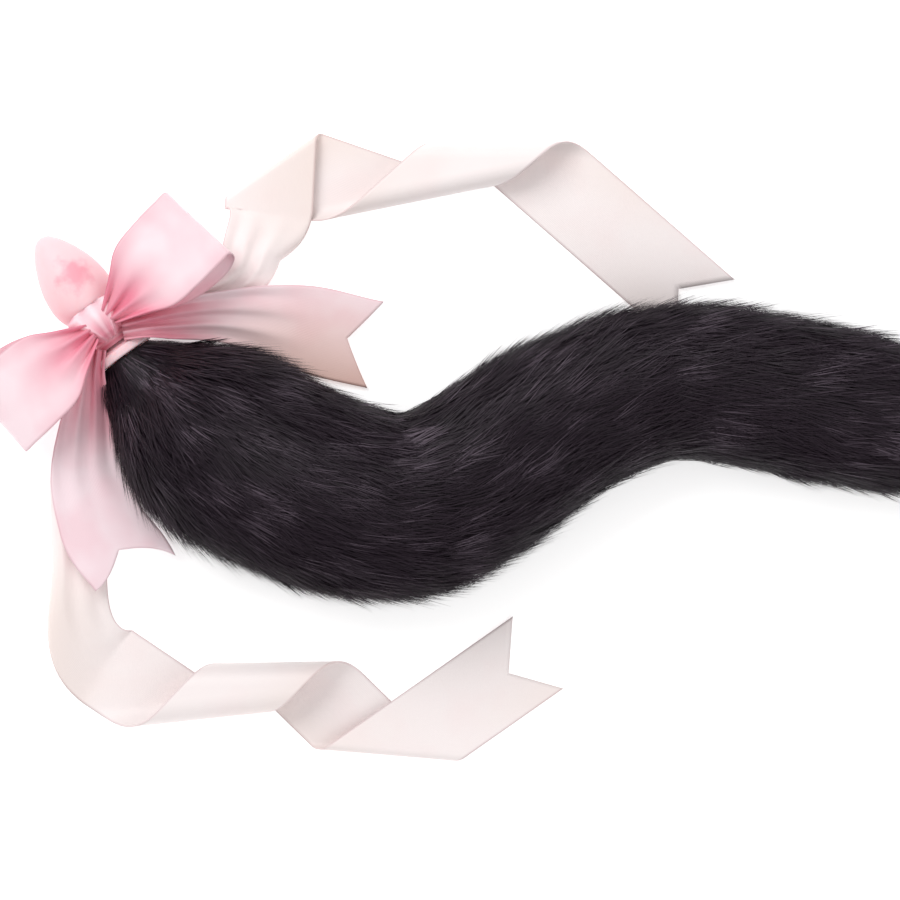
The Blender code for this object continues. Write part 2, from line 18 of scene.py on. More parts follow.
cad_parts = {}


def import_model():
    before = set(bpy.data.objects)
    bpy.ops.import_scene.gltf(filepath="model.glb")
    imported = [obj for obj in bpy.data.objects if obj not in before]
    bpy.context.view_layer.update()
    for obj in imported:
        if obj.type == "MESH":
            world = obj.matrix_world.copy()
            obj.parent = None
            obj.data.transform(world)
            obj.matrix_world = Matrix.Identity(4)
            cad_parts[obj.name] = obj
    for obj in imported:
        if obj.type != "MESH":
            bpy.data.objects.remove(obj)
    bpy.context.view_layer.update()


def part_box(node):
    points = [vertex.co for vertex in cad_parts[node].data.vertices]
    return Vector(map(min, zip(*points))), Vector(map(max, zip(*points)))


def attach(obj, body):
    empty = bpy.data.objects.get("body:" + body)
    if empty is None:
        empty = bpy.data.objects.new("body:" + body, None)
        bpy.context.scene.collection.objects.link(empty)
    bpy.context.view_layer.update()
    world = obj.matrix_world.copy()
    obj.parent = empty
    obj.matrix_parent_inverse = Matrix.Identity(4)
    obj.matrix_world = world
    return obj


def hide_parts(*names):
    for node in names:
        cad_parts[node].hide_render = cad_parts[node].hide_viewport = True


log = logging.getLogger("cat_tail")

Rows = Sequence[tuple[float, ...]]

RIBBON_WIDTH = 0.038
RIBBON_THICKNESS = 0.0006
AXIS_HEIGHT = 0.0149
WRAP_RADIUS = 0.0087
PLUG_HEADING = 126.0
KNOT_CENTRE = 0.0175
KNOT_LENGTH = 0.0165
KNOT_HEIGHT = 0.0095
EDGE_CURL_RADIUS = 0.0055
GAP = 0.0004
# a wave texture has a band each 0.314 units at a scale of 1
WAVES_TO_SCALE = 0.314


def linear(colour: str) -> tuple[float, float, float, float]:
    """Turn an sRGB hex colour to linear values.

    Args:
        colour: six hex digits after a hash sign.

    Returns:
        Red, green, blue and an alpha of 1.
    """
    parts = [int(colour[i : i + 2], 16) / 255 for i in (1, 3, 5)]
    return (*[c / 12.92 if c <= 0.04045 else ((c + 0.055) / 1.055) ** 2.4 for c in parts], 1.0)


def add_node(
    tree: bpy.types.NodeTree, kind: str, values: dict | None = None, **settings: object
) -> bpy.types.Node:
    """Add a node to a tree.

    Args:
        tree: the node tree.
        kind: the node's type name.
        values: input by name or number, to a value or to the output socket that feeds it.
        settings: the node's own settings.

    Returns:
        The new node.
    """
    node = tree.nodes.new(kind)
    for name, value in settings.items():
        setattr(node, name, value)
    for name, value in (values or {}).items():
        if isinstance(value, bpy.types.NodeSocket):
            tree.links.new(value, node.inputs[name])
        else:
            node.inputs[name].default_value = value
    return node


def calculate(
    tree: bpy.types.NodeTree, operation: str, *values: object, clamp: bool = False
) -> bpy.types.NodeSocket:
    """Add a math node to a tree.

    Args:
        tree: the node tree.
        operation: the node's operation.
        values: its inputs in order.
        clamp: whether the result is kept from 0 to 1.

    Returns:
        Its output socket.
    """
    settings = {"operation": operation, "use_clamp": clamp}
    return add_node(tree, "ShaderNodeMath", dict(enumerate(values)), **settings).outputs[0]


def new_material(name: str) -> tuple[bpy.types.Material, bpy.types.NodeTree, bpy.types.Node]:
    """Start a material.

    Args:
        name: its name.

    Returns:
        The material, its node tree and its shader.
    """
    made = bpy.data.materials.new(name)
    made.use_nodes = True
    return made, made.node_tree, made.node_tree.nodes["Principled BSDF"]


def store(mesh: bpy.types.Mesh, name: str, values: Sequence[float]) -> None:
    """Store a value from 0 to 1 at each point of a mesh.

    Args:
        mesh: the mesh.
        name: the attribute's name.
        values: a value for each point.
    """
    layer = mesh.attributes.new(name, "FLOAT", "POINT")
    layer.data.foreach_set("value", [min(max(value, 0.0), 1.0) for value in values])


def unit(heading: float) -> Vector:
    """Give the direction of a heading in the floor's plane."""
    return Vector((math.cos(math.radians(heading)), math.sin(math.radians(heading)), 0.0))


def ease(share: float) -> float:
    """Give a smooth step from 0 to 1."""
    t = min(max(share, 0.0), 1.0)
    return t * t * (3 - 2 * t)


def row_at(rows: Rows, share: float) -> np.ndarray:
    """Read a table on a smooth curve through its rows.

    Args:
        rows: the table, whose first column rises.
        share: the place in the first column.

    Returns:
        The other columns at that place.
    """
    table = np.array(rows)
    keys, values = table[:, 0], table[:, 1:]
    slopes = np.gradient(values, keys, axis=0)
    place = int(np.clip(np.searchsorted(keys, share) - 1, 0, len(keys) - 2))
    step = keys[place + 1] - keys[place]
    t = min(max((share - keys[place]) / step, 0.0), 1.0)
    start = (1 + 2 * t) * (1 - t) ** 2 * values[place] + t * (1 - t) ** 2 * step * slopes[place]
    end = t * t * (3 - 2 * t) * values[place + 1] - t * t * (1 - t) * step * slopes[place + 1]
    return start + end


def by_axis(along: float, aside: float) -> Vector:
    """Give the place at a distance along the plug's axis from the root, and aside from it."""
    return unit(PLUG_HEADING) * along + unit(PLUG_HEADING - 90) * aside


class Slot(Enum):
    """The record's material slots."""

    SILICONE = "silicone"
    BOW = "bow_satin"
    STREAMER = "streamer_satin"
    FUR = "fur"


@dataclass(frozen=True)
class SatinFinish:
    """Polyester satin: long floats of bright yarn, so it is smooth, with a broad soft sheen.

    Its threads are 0.1 mm apart, too fine to show, so the weave is drawn at thread_spacing.
    """

    name: str
    # the pale colour is the lit satin; the deep colour is the darker pink painted where shade falls
    pale: str
    deep: str
    warm: str
    thread_spacing: float = 0.0007
    thread_height: float = 0.00012
    slub_size: float = 0.0035
    selvedge: float = 0.0011
    selvedge_shade: tuple[float, float, float, float] = (0.93, 0.87, 0.88, 1.0)
    # soft clouds of random tone and painted sheen over the satin
    tone_and_sheen_size: float = 0.022
    tone_and_sheen_depth: float = 0.16

    def build(self) -> bpy.types.Material:
        """Make the material.

        Returns:
            The satin, which reads the ribbon's UV map in metres, its painted shade and its warmth.
        """
        made, tree, shader = new_material(self.name)
        # the painted shade at each point, from lit satin at 0 to the deepest shade at 1
        painted_shade = add_node(tree, "ShaderNodeAttribute", attribute_name="painted_shade")
        warmth = add_node(tree, "ShaderNodeAttribute", attribute_name="warmth")
        place = add_node(tree, "ShaderNodeTexCoord")
        # soft clouds of random tone and painted sheen, added to the painted shade
        tone_and_sheen_cloud = add_node(
            tree,
            "ShaderNodeTexNoise",
            {"Vector": place.outputs["Object"], "Scale": 1 / self.tone_and_sheen_size, "Detail": 2.0,
             "Roughness": 0.45},
        )
        spread = add_node(
            tree, "ShaderNodeMapRange",
            {"Value": tone_and_sheen_cloud.outputs["Fac"], "From Min": 0.3, "From Max": 0.7,
             "To Min": -self.tone_and_sheen_depth, "To Max": self.tone_and_sheen_depth},
        )
        shade_tone_and_sheen = calculate(tree, "ADD", painted_shade.outputs["Fac"], spread.outputs[0], clamp=True)
        tint = add_node(
            tree, "ShaderNodeMix",
            {0: shade_tone_and_sheen, 6: linear(self.pale), 7: linear(self.deep)}, data_type="RGBA",
        )
        warmed = add_node(
            tree, "ShaderNodeMix",
            {0: warmth.outputs["Fac"], 6: tint.outputs[2], 7: linear(self.warm)}, data_type="RGBA",
        )
        uv = add_node(tree, "ShaderNodeUVMap", uv_map="cut")
        parts = add_node(tree, "ShaderNodeSeparateXYZ", {0: uv.outputs[0]})
        side = calculate(tree, "ABSOLUTE", parts.outputs["Y"])
        edge = add_node(
            tree, "ShaderNodeMapRange",
            {"Value": side, "From Min": RIBBON_WIDTH / 2 - self.selvedge,
             "From Max": RIBBON_WIDTH / 2 - 0.4 * self.selvedge},
        )
        edged = add_node(
            tree, "ShaderNodeMix",
            {0: edge.outputs[0], 6: warmed.outputs[2], 7: self.selvedge_shade},
            data_type="RGBA", blend_type="MULTIPLY",
        )
        tree.links.new(edged.outputs[2], shader.inputs["Base Color"])
        weave = add_node(
            tree, "ShaderNodeTexWave",
            {"Vector": uv.outputs[0], "Scale": WAVES_TO_SCALE / self.thread_spacing, "Distortion": 1.2,
             "Detail": 2.0, "Detail Scale": 1.5},
            bands_direction="Y",
        )
        slub = add_node(
            tree, "ShaderNodeTexNoise",
            {"Vector": uv.outputs[0], "Scale": 1 / self.slub_size, "Detail": 3.0, "Roughness": 0.6},
        )
        relief = calculate(tree, "ADD", weave.outputs["Fac"], slub.outputs["Fac"])
        bump = add_node(
            tree, "ShaderNodeBump",
            {"Height": relief, "Strength": 0.22, "Distance": self.thread_height},
        )
        tree.links.new(bump.outputs[0], shader.inputs["Normal"])
        gloss = add_node(
            tree, "ShaderNodeMapRange",
            {"Value": slub.outputs["Fac"], "To Min": 0.40, "To Max": 0.52},
        )
        tree.links.new(gloss.outputs[0], shader.inputs["Roughness"])
        shader.inputs["Sheen Weight"].default_value = 0.25
        shader.inputs["Sheen Roughness"].default_value = 0.35
        shader.inputs["Anisotropic"].default_value = 0.45
        shader.inputs["Specular IOR Level"].default_value = 0.45
        return made


@dataclass(frozen=True)
class SiliconeFinish:
    """Cast platinum silicone: soft and slightly cloudy, satin smooth, with light going a little way in."""

    name: str = "cast_silicone"
    skin: str = "#F9D3D8"
    # the deeper pink is painted shade, in a ragged patch round the spot
    painted_shade: str = "#F1A9B7"
    spot: tuple[float, float, float] = (0.0, 0.0, 0.0)
    painted_shade_radius: float = 0.0105
    ragged_size: float = 0.006
    ragged_depth: float = 0.008
    grain_size: float = 0.0012

    def build(self) -> bpy.types.Material:
        """Make the material.

        Returns:
            The silicone, with deeper pink painted as shade on top of the bulb.
        """
        made, tree, shader = new_material(self.name)
        place = add_node(tree, "ShaderNodeTexCoord")
        away = add_node(
            tree, "ShaderNodeVectorMath", {0: place.outputs["Object"], 1: self.spot}, operation="DISTANCE"
        )
        ragged = add_node(
            tree, "ShaderNodeTexNoise",
            {"Vector": place.outputs["Object"], "Scale": 1 / self.ragged_size, "Detail": 3.0,
             "Roughness": 0.55},
        )
        wander = calculate(
            tree, "MULTIPLY_ADD", ragged.outputs["Fac"], 2 * self.ragged_depth, -self.ragged_depth
        )
        total = calculate(tree, "ADD", away.outputs["Value"], wander)
        near = add_node(
            tree, "ShaderNodeMapRange",
            {"Value": total, "From Min": self.painted_shade_radius, "From Max": 0.2 * self.painted_shade_radius},
            interpolation_type="SMOOTHSTEP",
        )
        tint = add_node(
            tree, "ShaderNodeMix", {0: near.outputs[0], 6: linear(self.skin), 7: linear(self.painted_shade)},
            data_type="RGBA",
        )
        tree.links.new(tint.outputs[2], shader.inputs["Base Color"])
        grain = add_node(
            tree, "ShaderNodeTexNoise",
            {"Vector": place.outputs["Object"], "Scale": 1 / self.grain_size, "Detail": 2.0},
        )
        bump = add_node(
            tree, "ShaderNodeBump", {"Height": grain.outputs["Fac"], "Strength": 0.08, "Distance": 0.0001}
        )
        tree.links.new(bump.outputs[0], shader.inputs["Normal"])
        shader.inputs["Roughness"].default_value = 0.42
        shader.inputs["IOR"].default_value = 1.41
        shader.inputs["Subsurface Weight"].default_value = 0.35
        shader.inputs["Subsurface Radius"].default_value = (1.0, 0.45, 0.40)
        shader.inputs["Subsurface Scale"].default_value = 0.004
        return made


@dataclass(frozen=True)
class FurFinish:
    """Acrylic pile: black fibres that are smooth, with thin grey glints painted on combed strands."""

    name: str
    root: str = "#10080F"
    tip: str = "#261A25"
    painted_glint: str = "#5C505B"
    roughness: float = 0.5

    def build(self) -> bpy.types.Material:
        """Make the material.

        Returns:
            The pile, darker at the roots, with grey glints painted on some strands among the dark.
        """
        made, tree, shader = new_material(self.name)
        along = add_node(tree, "ShaderNodeAttribute", attribute_name="strand")
        painted_glint_weight = add_node(tree, "ShaderNodeAttribute", attribute_name="painted_glint_weight")
        # grey glints painted on the strands that the per-strand weight picks out
        painted_glint_mix = add_node(
            tree, "ShaderNodeMapRange",
            {"Value": painted_glint_weight.outputs["Fac"], "From Min": 0.50, "From Max": 1.0, "To Max": 0.9},
        )
        base = add_node(
            tree, "ShaderNodeMix", {0: along.outputs["Fac"], 6: linear(self.root), 7: linear(self.tip)},
            data_type="RGBA",
        )
        tint = add_node(
            tree, "ShaderNodeMix", {0: painted_glint_mix.outputs[0], 6: base.outputs[2], 7: linear(self.painted_glint)},
            data_type="RGBA",
        )
        tree.links.new(tint.outputs[2], shader.inputs["Base Color"])
        shader.inputs["Roughness"].default_value = self.roughness
        shader.inputs["Specular IOR Level"].default_value = 0.22
        return made


@dataclass(frozen=True)
class FloorFinish:
    """Matt white acrylic sheet lit from below, as a light table is, so that shadows fade to white."""

    name: str = "backlit_acrylic_floor"
    colour: str = "#FBFAFA"
    glow: float = 0.42
    grain_size: float = 0.004

    def build(self) -> bpy.types.Material:
        """Make the material.

        Returns:
            The sheet, with the slightest grain.
        """
        made, tree, shader = new_material(self.name)
        place = add_node(tree, "ShaderNodeTexCoord")
        grain = add_node(
            tree, "ShaderNodeTexNoise", {"Vector": place.outputs["Object"], "Scale": 1 / self.grain_size}
        )
        rough = add_node(
            tree, "ShaderNodeMapRange", {"Value": grain.outputs["Fac"], "To Min": 0.7, "To Max": 0.8}
        )
        tree.links.new(rough.outputs[0], shader.inputs["Roughness"])
        shader.inputs["Base Color"].default_value = linear(self.colour)
        shader.inputs["Emission Color"].default_value = (1.0, 1.0, 1.0, 1.0)
        shader.inputs["Emission Strength"].default_value = self.glow
        return made


@dataclass
class Layout:
    """Where the root lies in the frame."""

    wrap_middle: float = 0.01165
    root: Vector = field(default_factory=Vector)

    def find_root(self) -> None:
        """Work out the root's place from the wrap round the neck, whose middle lies on the plug's axis."""
        low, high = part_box("neck_wrap")
        middle = (low + high) / 2
        self.root = Vector((middle.x, middle.y, 0.0)) - unit(PLUG_HEADING) * self.wrap_middle

    def piece(
        self, name: str, points: Iterable[Vector], faces: list[tuple[int, ...]],
        finish: bpy.types.Material, slot: Slot, outward: bool = True,
    ) -> bpy.types.Object:
        """Make an object from points laid out from the root.

        Args:
            name: the object's name.
            points: its points.
            faces: its faces.
            finish: its material.
            slot: the record's slot for the piece; not used.
            outward: whether its faces are turned outwards, as a closed body's are.

        Returns:
            The object, riding on the part.
        """
        mesh = bpy.data.meshes.new(name)
        mesh.from_pydata([tuple(Vector(point) + self.root) for point in points], [], faces)
        if outward:
            work = bmesh.new()
            work.from_mesh(mesh)
            bmesh.ops.recalc_face_normals(work, faces=work.faces)
            work.to_mesh(mesh)
            work.free()
        mesh.shade_smooth()
        mesh.materials.append(finish)
        made = bpy.data.objects.new(name, mesh)
        bpy.context.scene.collection.objects.link(made)
        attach(made, "root")
        return made


def closed_rings(rings: list[list[Vector]]) -> tuple[list[Vector], list[tuple[int, ...]]]:
    """Join rings of equal length into a closed body.

    Args:
        rings: rows of points.

    Returns:
        The points and the faces.
    """
    count = len(rings[0])
    points = [Vector(point) for ring in rings for point in ring]
    faces: list[tuple[int, ...]] = []
    for k in range(len(rings) - 1):
        for i in range(count):
            a, b = k * count + i, k * count + (i + 1) % count
            faces.append((a, b, b + count, a + count))
    for first in (0, (len(rings) - 1) * count):
        points.append(sum((points[first + i] for i in range(count)), Vector()) / count)
        for i in range(count):
            faces.append((first + i, first + (i + 1) % count, len(points) - 1))
    return points, faces


@dataclass
class Ribbon:
    """A length of the satin ribbon, made from rungs of points across it."""

    name: str
    node: str
    slot: Slot
    columns: int = 28
    pleat_waves: float = 1.5
    pleat_depth: float = 0.0016
    fine_pleat_depth: float = 0.0005
    cut_length: float = 0.0

    def shares(self) -> list[float]:
        """Give the shares of the points across, from the right-hand edge to the left.

        Returns:
            Shares from -1 to 1.
        """
        return [2 * j / self.columns - 1 for j in range(self.columns + 1)]

    def section(self, share: float, spanned: float, curl: float) -> tuple[float, float]:
        """Give a point of the section.

        Args:
            share: place across, from -1 at the right-hand edge to 1.
            spanned: the part of the width that the gathered ribbon spans.
            curl: the angle that an edge turns under, negative for the right-hand one.

        Returns:
            The sideways place and the height.
        """
        side = 1.0 if curl >= 0 else -1.0
        angle = math.radians(abs(curl))
        flat = RIBBON_WIDTH - EDGE_CURL_RADIUS * angle
        reach = flat + EDGE_CURL_RADIUS * math.sin(min(angle, math.pi / 2))
        place = (side * share + 1) / 2 * RIBBON_WIDTH
        turned = max(place - flat, 0.0) / EDGE_CURL_RADIUS
        sideways = min(place, flat) + EDGE_CURL_RADIUS * math.sin(turned) - reach / 2
        drop = EDGE_CURL_RADIUS * (1 - math.cos(turned))
        gather = min((1 - spanned) * 1.6, 1.0)
        wave = -self.pleat_depth * gather * math.cos(2 * math.pi * self.pleat_waves * share)
        fine = self.fine_pleat_depth * gather**2 * math.cos(2 * math.pi * 3.4 * share + 0.8)
        return side * sideways * spanned, wave + fine - drop

    def make(
        self, layout: Layout, rungs: list[list[Vector]], finish: bpy.types.Material,
        painted_shade: Callable[[Vector, float, float], float], warmth: Callable[[Vector, float, float], float],
    ) -> bpy.types.Object:
        """Make the ribbon's mesh, with its cut laid out as a UV map in metres.

        Args:
            layout: the frame's layout.
            rungs: rows of points across the ribbon.
            finish: its satin.
            painted_shade: gives the depth of pink painted as shade at a point, its share along and its share
                across.
            warmth: gives the warmth of the tone in the same way.

        Returns:
            The ribbon.
        """
        points = [point for rung in rungs for point in rung]
        wide = self.columns + 1
        faces = []
        for i in range(len(rungs) - 1):
            for j in range(self.columns):
                a = i * wide + j
                faces.append((a, a + 1, a + 1 + wide, a + wide))
        made = layout.piece(self.name, points, faces, finish, self.slot, outward=False)
        mesh = made.data
        middle = [rung[self.columns // 2] for rung in rungs]
        run = [0.0]
        for a, b in zip(middle, middle[1:]):
            run.append(run[-1] + (b - a).length)
        self.cut_length = run[-1]
        uv = mesh.uv_layers.new(name="cut")
        for loop in mesh.loops:
            i, j = divmod(loop.vertex_index, wide)
            uv.data[loop.index].uv = (run[i], (j / self.columns - 0.5) * RIBBON_WIDTH)
        shares = self.shares()
        for label, rule in (("painted_shade", painted_shade), ("warmth", warmth)):
            store(mesh, label, [
                rule(point, run[k // wide] / run[-1], shares[k % wide]) for k, point in enumerate(points)
            ])
        wall = made.modifiers.new("Wall", "SOLIDIFY")
        wall.thickness = RIBBON_THICKNESS
        wall.offset = 0.0
        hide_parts(self.node)
        return made


@dataclass
class BowLoop(Ribbon):
    """A loop of the bow: the ribbon goes out below, turns at the far edge and comes back above."""

    heading: float = 0.0
    length: float = 0.060
    height: float = 0.026
    rungs: int = 96
    sections: Rows = (
        (0.00, 0.08, 0.02, 0.22, 0.00),
        (0.08, 0.26, -0.03, 0.50, 0.01),
        (0.20, 0.47, -0.20, 0.84, 0.06),
        (0.33, 0.72, -0.50, 0.97, 0.11),
        (0.43, 0.92, -0.64, 1.00, 0.10),
        (0.48, 0.99, -0.52, 1.00, 0.06),
        (0.51, 1.00, -0.34, 1.00, 0.03),
        (0.55, 0.99, -0.12, 1.00, 0.00),
        (0.61, 0.90, 0.06, 1.00, 0.00),
        (0.72, 0.68, 0.26, 0.99, 0.00),
        (0.84, 0.45, 0.30, 0.90, 0.00),
        (0.94, 0.27, 0.22, 0.56, 0.00),
        (1.00, 0.08, 0.08, 0.22, 0.00),
    )

    def build(self, layout: Layout, finish: bpy.types.Material) -> bpy.types.Object:
        """Build the loop.

        Args:
            layout: the frame's layout.
            finish: its satin.

        Returns:
            The loop.
        """
        knot = unit(PLUG_HEADING) * (KNOT_CENTRE - 0.1 * KNOT_LENGTH)
        root_height = AXIS_HEIGHT + WRAP_RADIUS + GAP + 0.60 * KNOT_HEIGHT
        onward, left = unit(self.heading), unit(self.heading + 90)
        rungs = []
        for i in range(self.rungs + 1):
            out, rise, spanned, shift = row_at(self.sections, i / self.rungs)
            rung = []
            for v in self.shares():
                sideways, lift = self.section(v, spanned, 0.0)
                place = knot + onward * (out * self.length) + left * (sideways - shift * RIBBON_WIDTH)
                place.z = root_height + rise * self.height + lift
                rung.append(place)
            rungs.append(rung)

        def painted_shade(point: Vector, along: float, across: float) -> float:
            """Paint shade as deeper pink near the knot, in the gathers and pleats, inside the loop and along
            its edges.

            Args:
                point: the point, from the root.
                along: its share along the ribbon.
                across: its share across the ribbon.

            Returns:
                The share of the painted shade.
            """
            far = (Vector((point.x, point.y, 0.0)) - knot).length / self.length
            inside = 0.25 * ease((0.45 - along) / 0.2)
            edge = 0.22 * ease((abs(across) - 0.5) / 0.5)
            pleats = 0.16 * math.cos(5.0 * across) * (1 - far)
            return 0.90 * ease((0.74 - far) / 0.62) + pleats + inside + edge

        made = self.make(layout, rungs, finish, painted_shade, lambda point, along, across: 0.0)
        return made


@dataclass
class GatheredRibbon(Ribbon):
    """A ribbon that starts gathered beside the neck and follows a course over the floor."""

    start: tuple[float, float] = (1.0, 0.0)
    course: Rows = ()
    reach: float = 0.1
    sections: Rows = ()
    curves: list[tuple[Vector, Vector, Vector, Vector]] = field(default_factory=list)
    stops: list[tuple[Vector, float]] = field(default_factory=list)

    def lay(self) -> None:
        """Work out the curve of its middle."""
        aside, heading = self.start
        self.stops = [(by_axis(KNOT_CENTRE - 0.48 * KNOT_LENGTH, aside * WRAP_RADIUS), heading)]
        self.stops += [(unit(turn) * (share * self.reach), onward) for turn, share, onward in self.course]
        for (first, first_heading), (last, last_heading) in zip(self.stops, self.stops[1:]):
            handle = (last - first).length * 0.36
            self.curves.append(
                (first, first + unit(first_heading) * handle, last - unit(last_heading) * handle, last)
            )

    def length(self) -> float:
        """Give the length of its course."""
        return sum((curve[3] - curve[0]).length for curve in self.curves)

    def point(self, share: float, across: float) -> Vector:
        """Place a point.

        Args:
            share: its share along the course.
            across: its share across the ribbon.

        Returns:
            The point.
        """
        lengths = [(curve[3] - curve[0]).length for curve in self.curves]
        edges = [sum(lengths[:i]) / sum(lengths) for i in range(len(lengths) + 1)]
        part = sum(share > edge for edge in edges[1:-1])
        a, b, c, d = self.curves[part]
        t = (share - edges[part]) / (edges[part + 1] - edges[part])
        middle = a * (1 - t) ** 3 + b * 3 * t * (1 - t) ** 2 + c * 3 * t * t * (1 - t) + d * t**3
        run = (b - a) * (1 - t) ** 2 + (c - b) * 2 * t * (1 - t) + (d - c) * t * t
        left = Vector((-run.y, run.x, 0.0)).normalized()
        height, spanned, tilt, curl = row_at(self.sections, share)
        sideways, lift = self.section(across, spanned, curl)
        lean = math.radians(tilt)
        place = middle + left * (sideways * math.cos(lean) + lift * math.sin(lean))
        place.z = height * AXIS_HEIGHT + lift * math.cos(lean) - sideways * math.sin(lean)
        return place


@dataclass
class ShortEnd(GatheredRibbon):
    """A short end of the bow, cut in a swallow-tail."""

    notch: float = 0.012
    rungs: int = 72
    painted_shade_reach: float = 0.055
    warm_side: float = 0.0

    def build(self, layout: Layout, finish: bpy.types.Material) -> bpy.types.Object:
        """Build the end.

        Args:
            layout: the frame's layout.
            finish: its satin.

        Returns:
            The end.
        """
        self.lay()
        rungs = []
        for i in range(self.rungs + 1):
            share = i / self.rungs
            cut = self.notch / self.length() * ease((share - 0.45) / 0.55)
            rungs.append([self.point(share - cut * (1 - abs(v)), v) for v in self.shares()])

        def painted_shade(point: Vector, along: float, across: float) -> float:
            """Paint shade as deeper pink near the knot, and a little along the folds.

            Args:
                point: the point, from the root.
                along: its share along the ribbon.
                across: its share across the ribbon.

            Returns:
                The share of the painted shade.
            """
            far = Vector((point.x, point.y, 0.0)).length
            near = ease((self.painted_shade_reach - far) / self.painted_shade_reach * 1.3)
            return 0.75 * near + 0.10 * math.sin(4 * across)

        def warmth(point: Vector, along: float, across: float) -> float:
            """Warm the tone towards the tip on one side.

            Args:
                point: the point, from the root.
                along: its share along the ribbon.
                across: its share across the ribbon.

            Returns:
                The share of the warmth.
            """
            return self.warm_side * ease(along * 1.4 - 0.25) * (0.55 - 0.45 * across)

        made = self.make(layout, rungs, finish, painted_shade, warmth)
        cut_area = RIBBON_WIDTH * (self.length() - self.notch / 2)
        self.length()
        return made


@dataclass
class Streamer(GatheredRibbon):
    """A long streamer: a gathered lead-in, then flat runs between folds and curls, and a swallow-tail."""

    bends: Rows = ()
    last_run: float = 0.1
    floor_gap: float = 0.0009
    notch: float = 0.0155
    lead_rungs: int = 80
    flat_rungs: int = 9
    bend_rungs: int = 20
    end_rungs: int = 24
    # the depth of painted shade near the knot, and the warmth far from it
    tone: tuple[float, float] = (0.4, 0.0)

    def placed_bends(self) -> tuple[list[tuple[float, ...]], float]:
        """Give each bend with its place along the middle, and the place where the last one ends.

        Returns:
            The bends as rows of place, ruling, radius and turn, and the place where the last one ends.
        """
        placed = []
        place = 0.0
        for run, ruling, radius, turn in self.bends:
            place += run * RIBBON_WIDTH
            placed.append((place, ruling, radius, turn))
            place += radius * math.radians(abs(turn)) / math.sin(math.radians(ruling))
        return placed, place

    @staticmethod
    def folded(u: float, v: float, bends: list[tuple[float, ...]]) -> Vector:
        """Place a point of the flat ribbon after its bends.

        Args:
            u: its place along the ribbon.
            v: its place across it, to the left.
            bends: rows of place, ruling, radius and turn.

        Returns:
            The point.
        """
        point = Vector((u, v, 0.0))
        for place, ruling, radius, turn in reversed(bends):
            angle = math.radians(ruling)
            onward = Vector((math.sin(angle), -math.cos(angle), 0.0))
            along = Vector((math.cos(angle), math.sin(angle), 0.0))
            origin = Vector((place, 0.0, 0.0))
            past = (Vector((u, v, 0.0)) - origin).dot(onward)
            if past <= 0:
                continue
            side = math.copysign(1.0, turn)
            full = math.radians(abs(turn))
            arc = radius * full
            rolled = min(past / radius, full)
            local = point - origin
            extra = local.dot(onward) - arc if past > arc else 0.0
            height = side * local.z
            forward = radius * math.sin(rolled) + extra * math.cos(rolled) - height * math.sin(rolled)
            upward = radius * (1 - math.cos(rolled)) + extra * math.sin(rolled) + height * math.cos(rolled)
            point = origin + along * local.dot(along) + onward * forward
            point.z = side * upward
        return point

    def build(self, layout: Layout, finish: bpy.types.Material) -> bpy.types.Object:
        """Build the streamer.

        Args:
            layout: the frame's layout.
            finish: its satin.

        Returns:
            The streamer.
        """
        self.lay()
        shares = self.shares()
        rungs = [[self.point(i / self.lead_rungs, v) for v in shares] for i in range(self.lead_rungs)]
        anchor, heading = self.stops[-1]
        frame = Matrix.Translation((anchor.x, anchor.y, self.floor_gap)) @ Matrix.Rotation(
            math.radians(heading), 4, "Z"
        )
        bends, flat_end = self.placed_bends()
        half = RIBBON_WIDTH / 2
        lines = [(0.0, 0.0, 0.0)]
        for place, ruling, radius, turn in bends:
            skew = 1 / math.tan(math.radians(ruling))
            stretch = radius * math.radians(abs(turn)) / math.sin(math.radians(ruling))
            before = lines[-1]
            for i in range(1, self.flat_rungs):
                t = i / self.flat_rungs
                lines.append((before[0] + (place - before[0]) * t, before[1] + (skew - before[1]) * t, 0.0))
            steps = self.bend_rungs
            lines += [(place + stretch * i / steps, skew, 0.0) for i in range(steps + 1)]
        last = lines[-1]
        tip = (flat_end + self.last_run - self.notch, 0.0, self.notch / half)
        for i in range(1, self.end_rungs + 1):
            lines.append(tuple(last[k] + (tip[k] - last[k]) * i / self.end_rungs for k in range(3)))
        for place, skew, vee in lines:
            row = []
            for share in shares:
                v = share * half
                row.append(frame @ self.folded(place + skew * v + vee * abs(v), v, bends))
            rungs.append(row)
        near, far = self.tone

        def painted_shade(point: Vector, along: float, across: float) -> float:
            """Paint shade as pink on the gathered lead-in near the knot, fading along the streamer.

            Args:
                point: the point, from the root.
                along: its share along the ribbon.
                across: its share across the ribbon.

            Returns:
                The share of the painted shade.
            """
            return near * ease(1 - along * 4.0) + 0.06 * math.cos(3 * across)

        def warmth(point: Vector, along: float, across: float) -> float:
            """Turn the tone to cream in soft bands along the streamer.

            Args:
                point: the point, from the root.
                along: its share along the ribbon.
                across: its share across the ribbon.

            Returns:
                The share of the warmth.
            """
            return far + 0.30 * ease(1 - abs(along - 0.30) / 0.12) + 0.25 * math.sin(14.0 * along) * across

        made = self.make(layout, rungs, finish, painted_shade, warmth)
        total = self.length() + flat_end + self.last_run
        return made


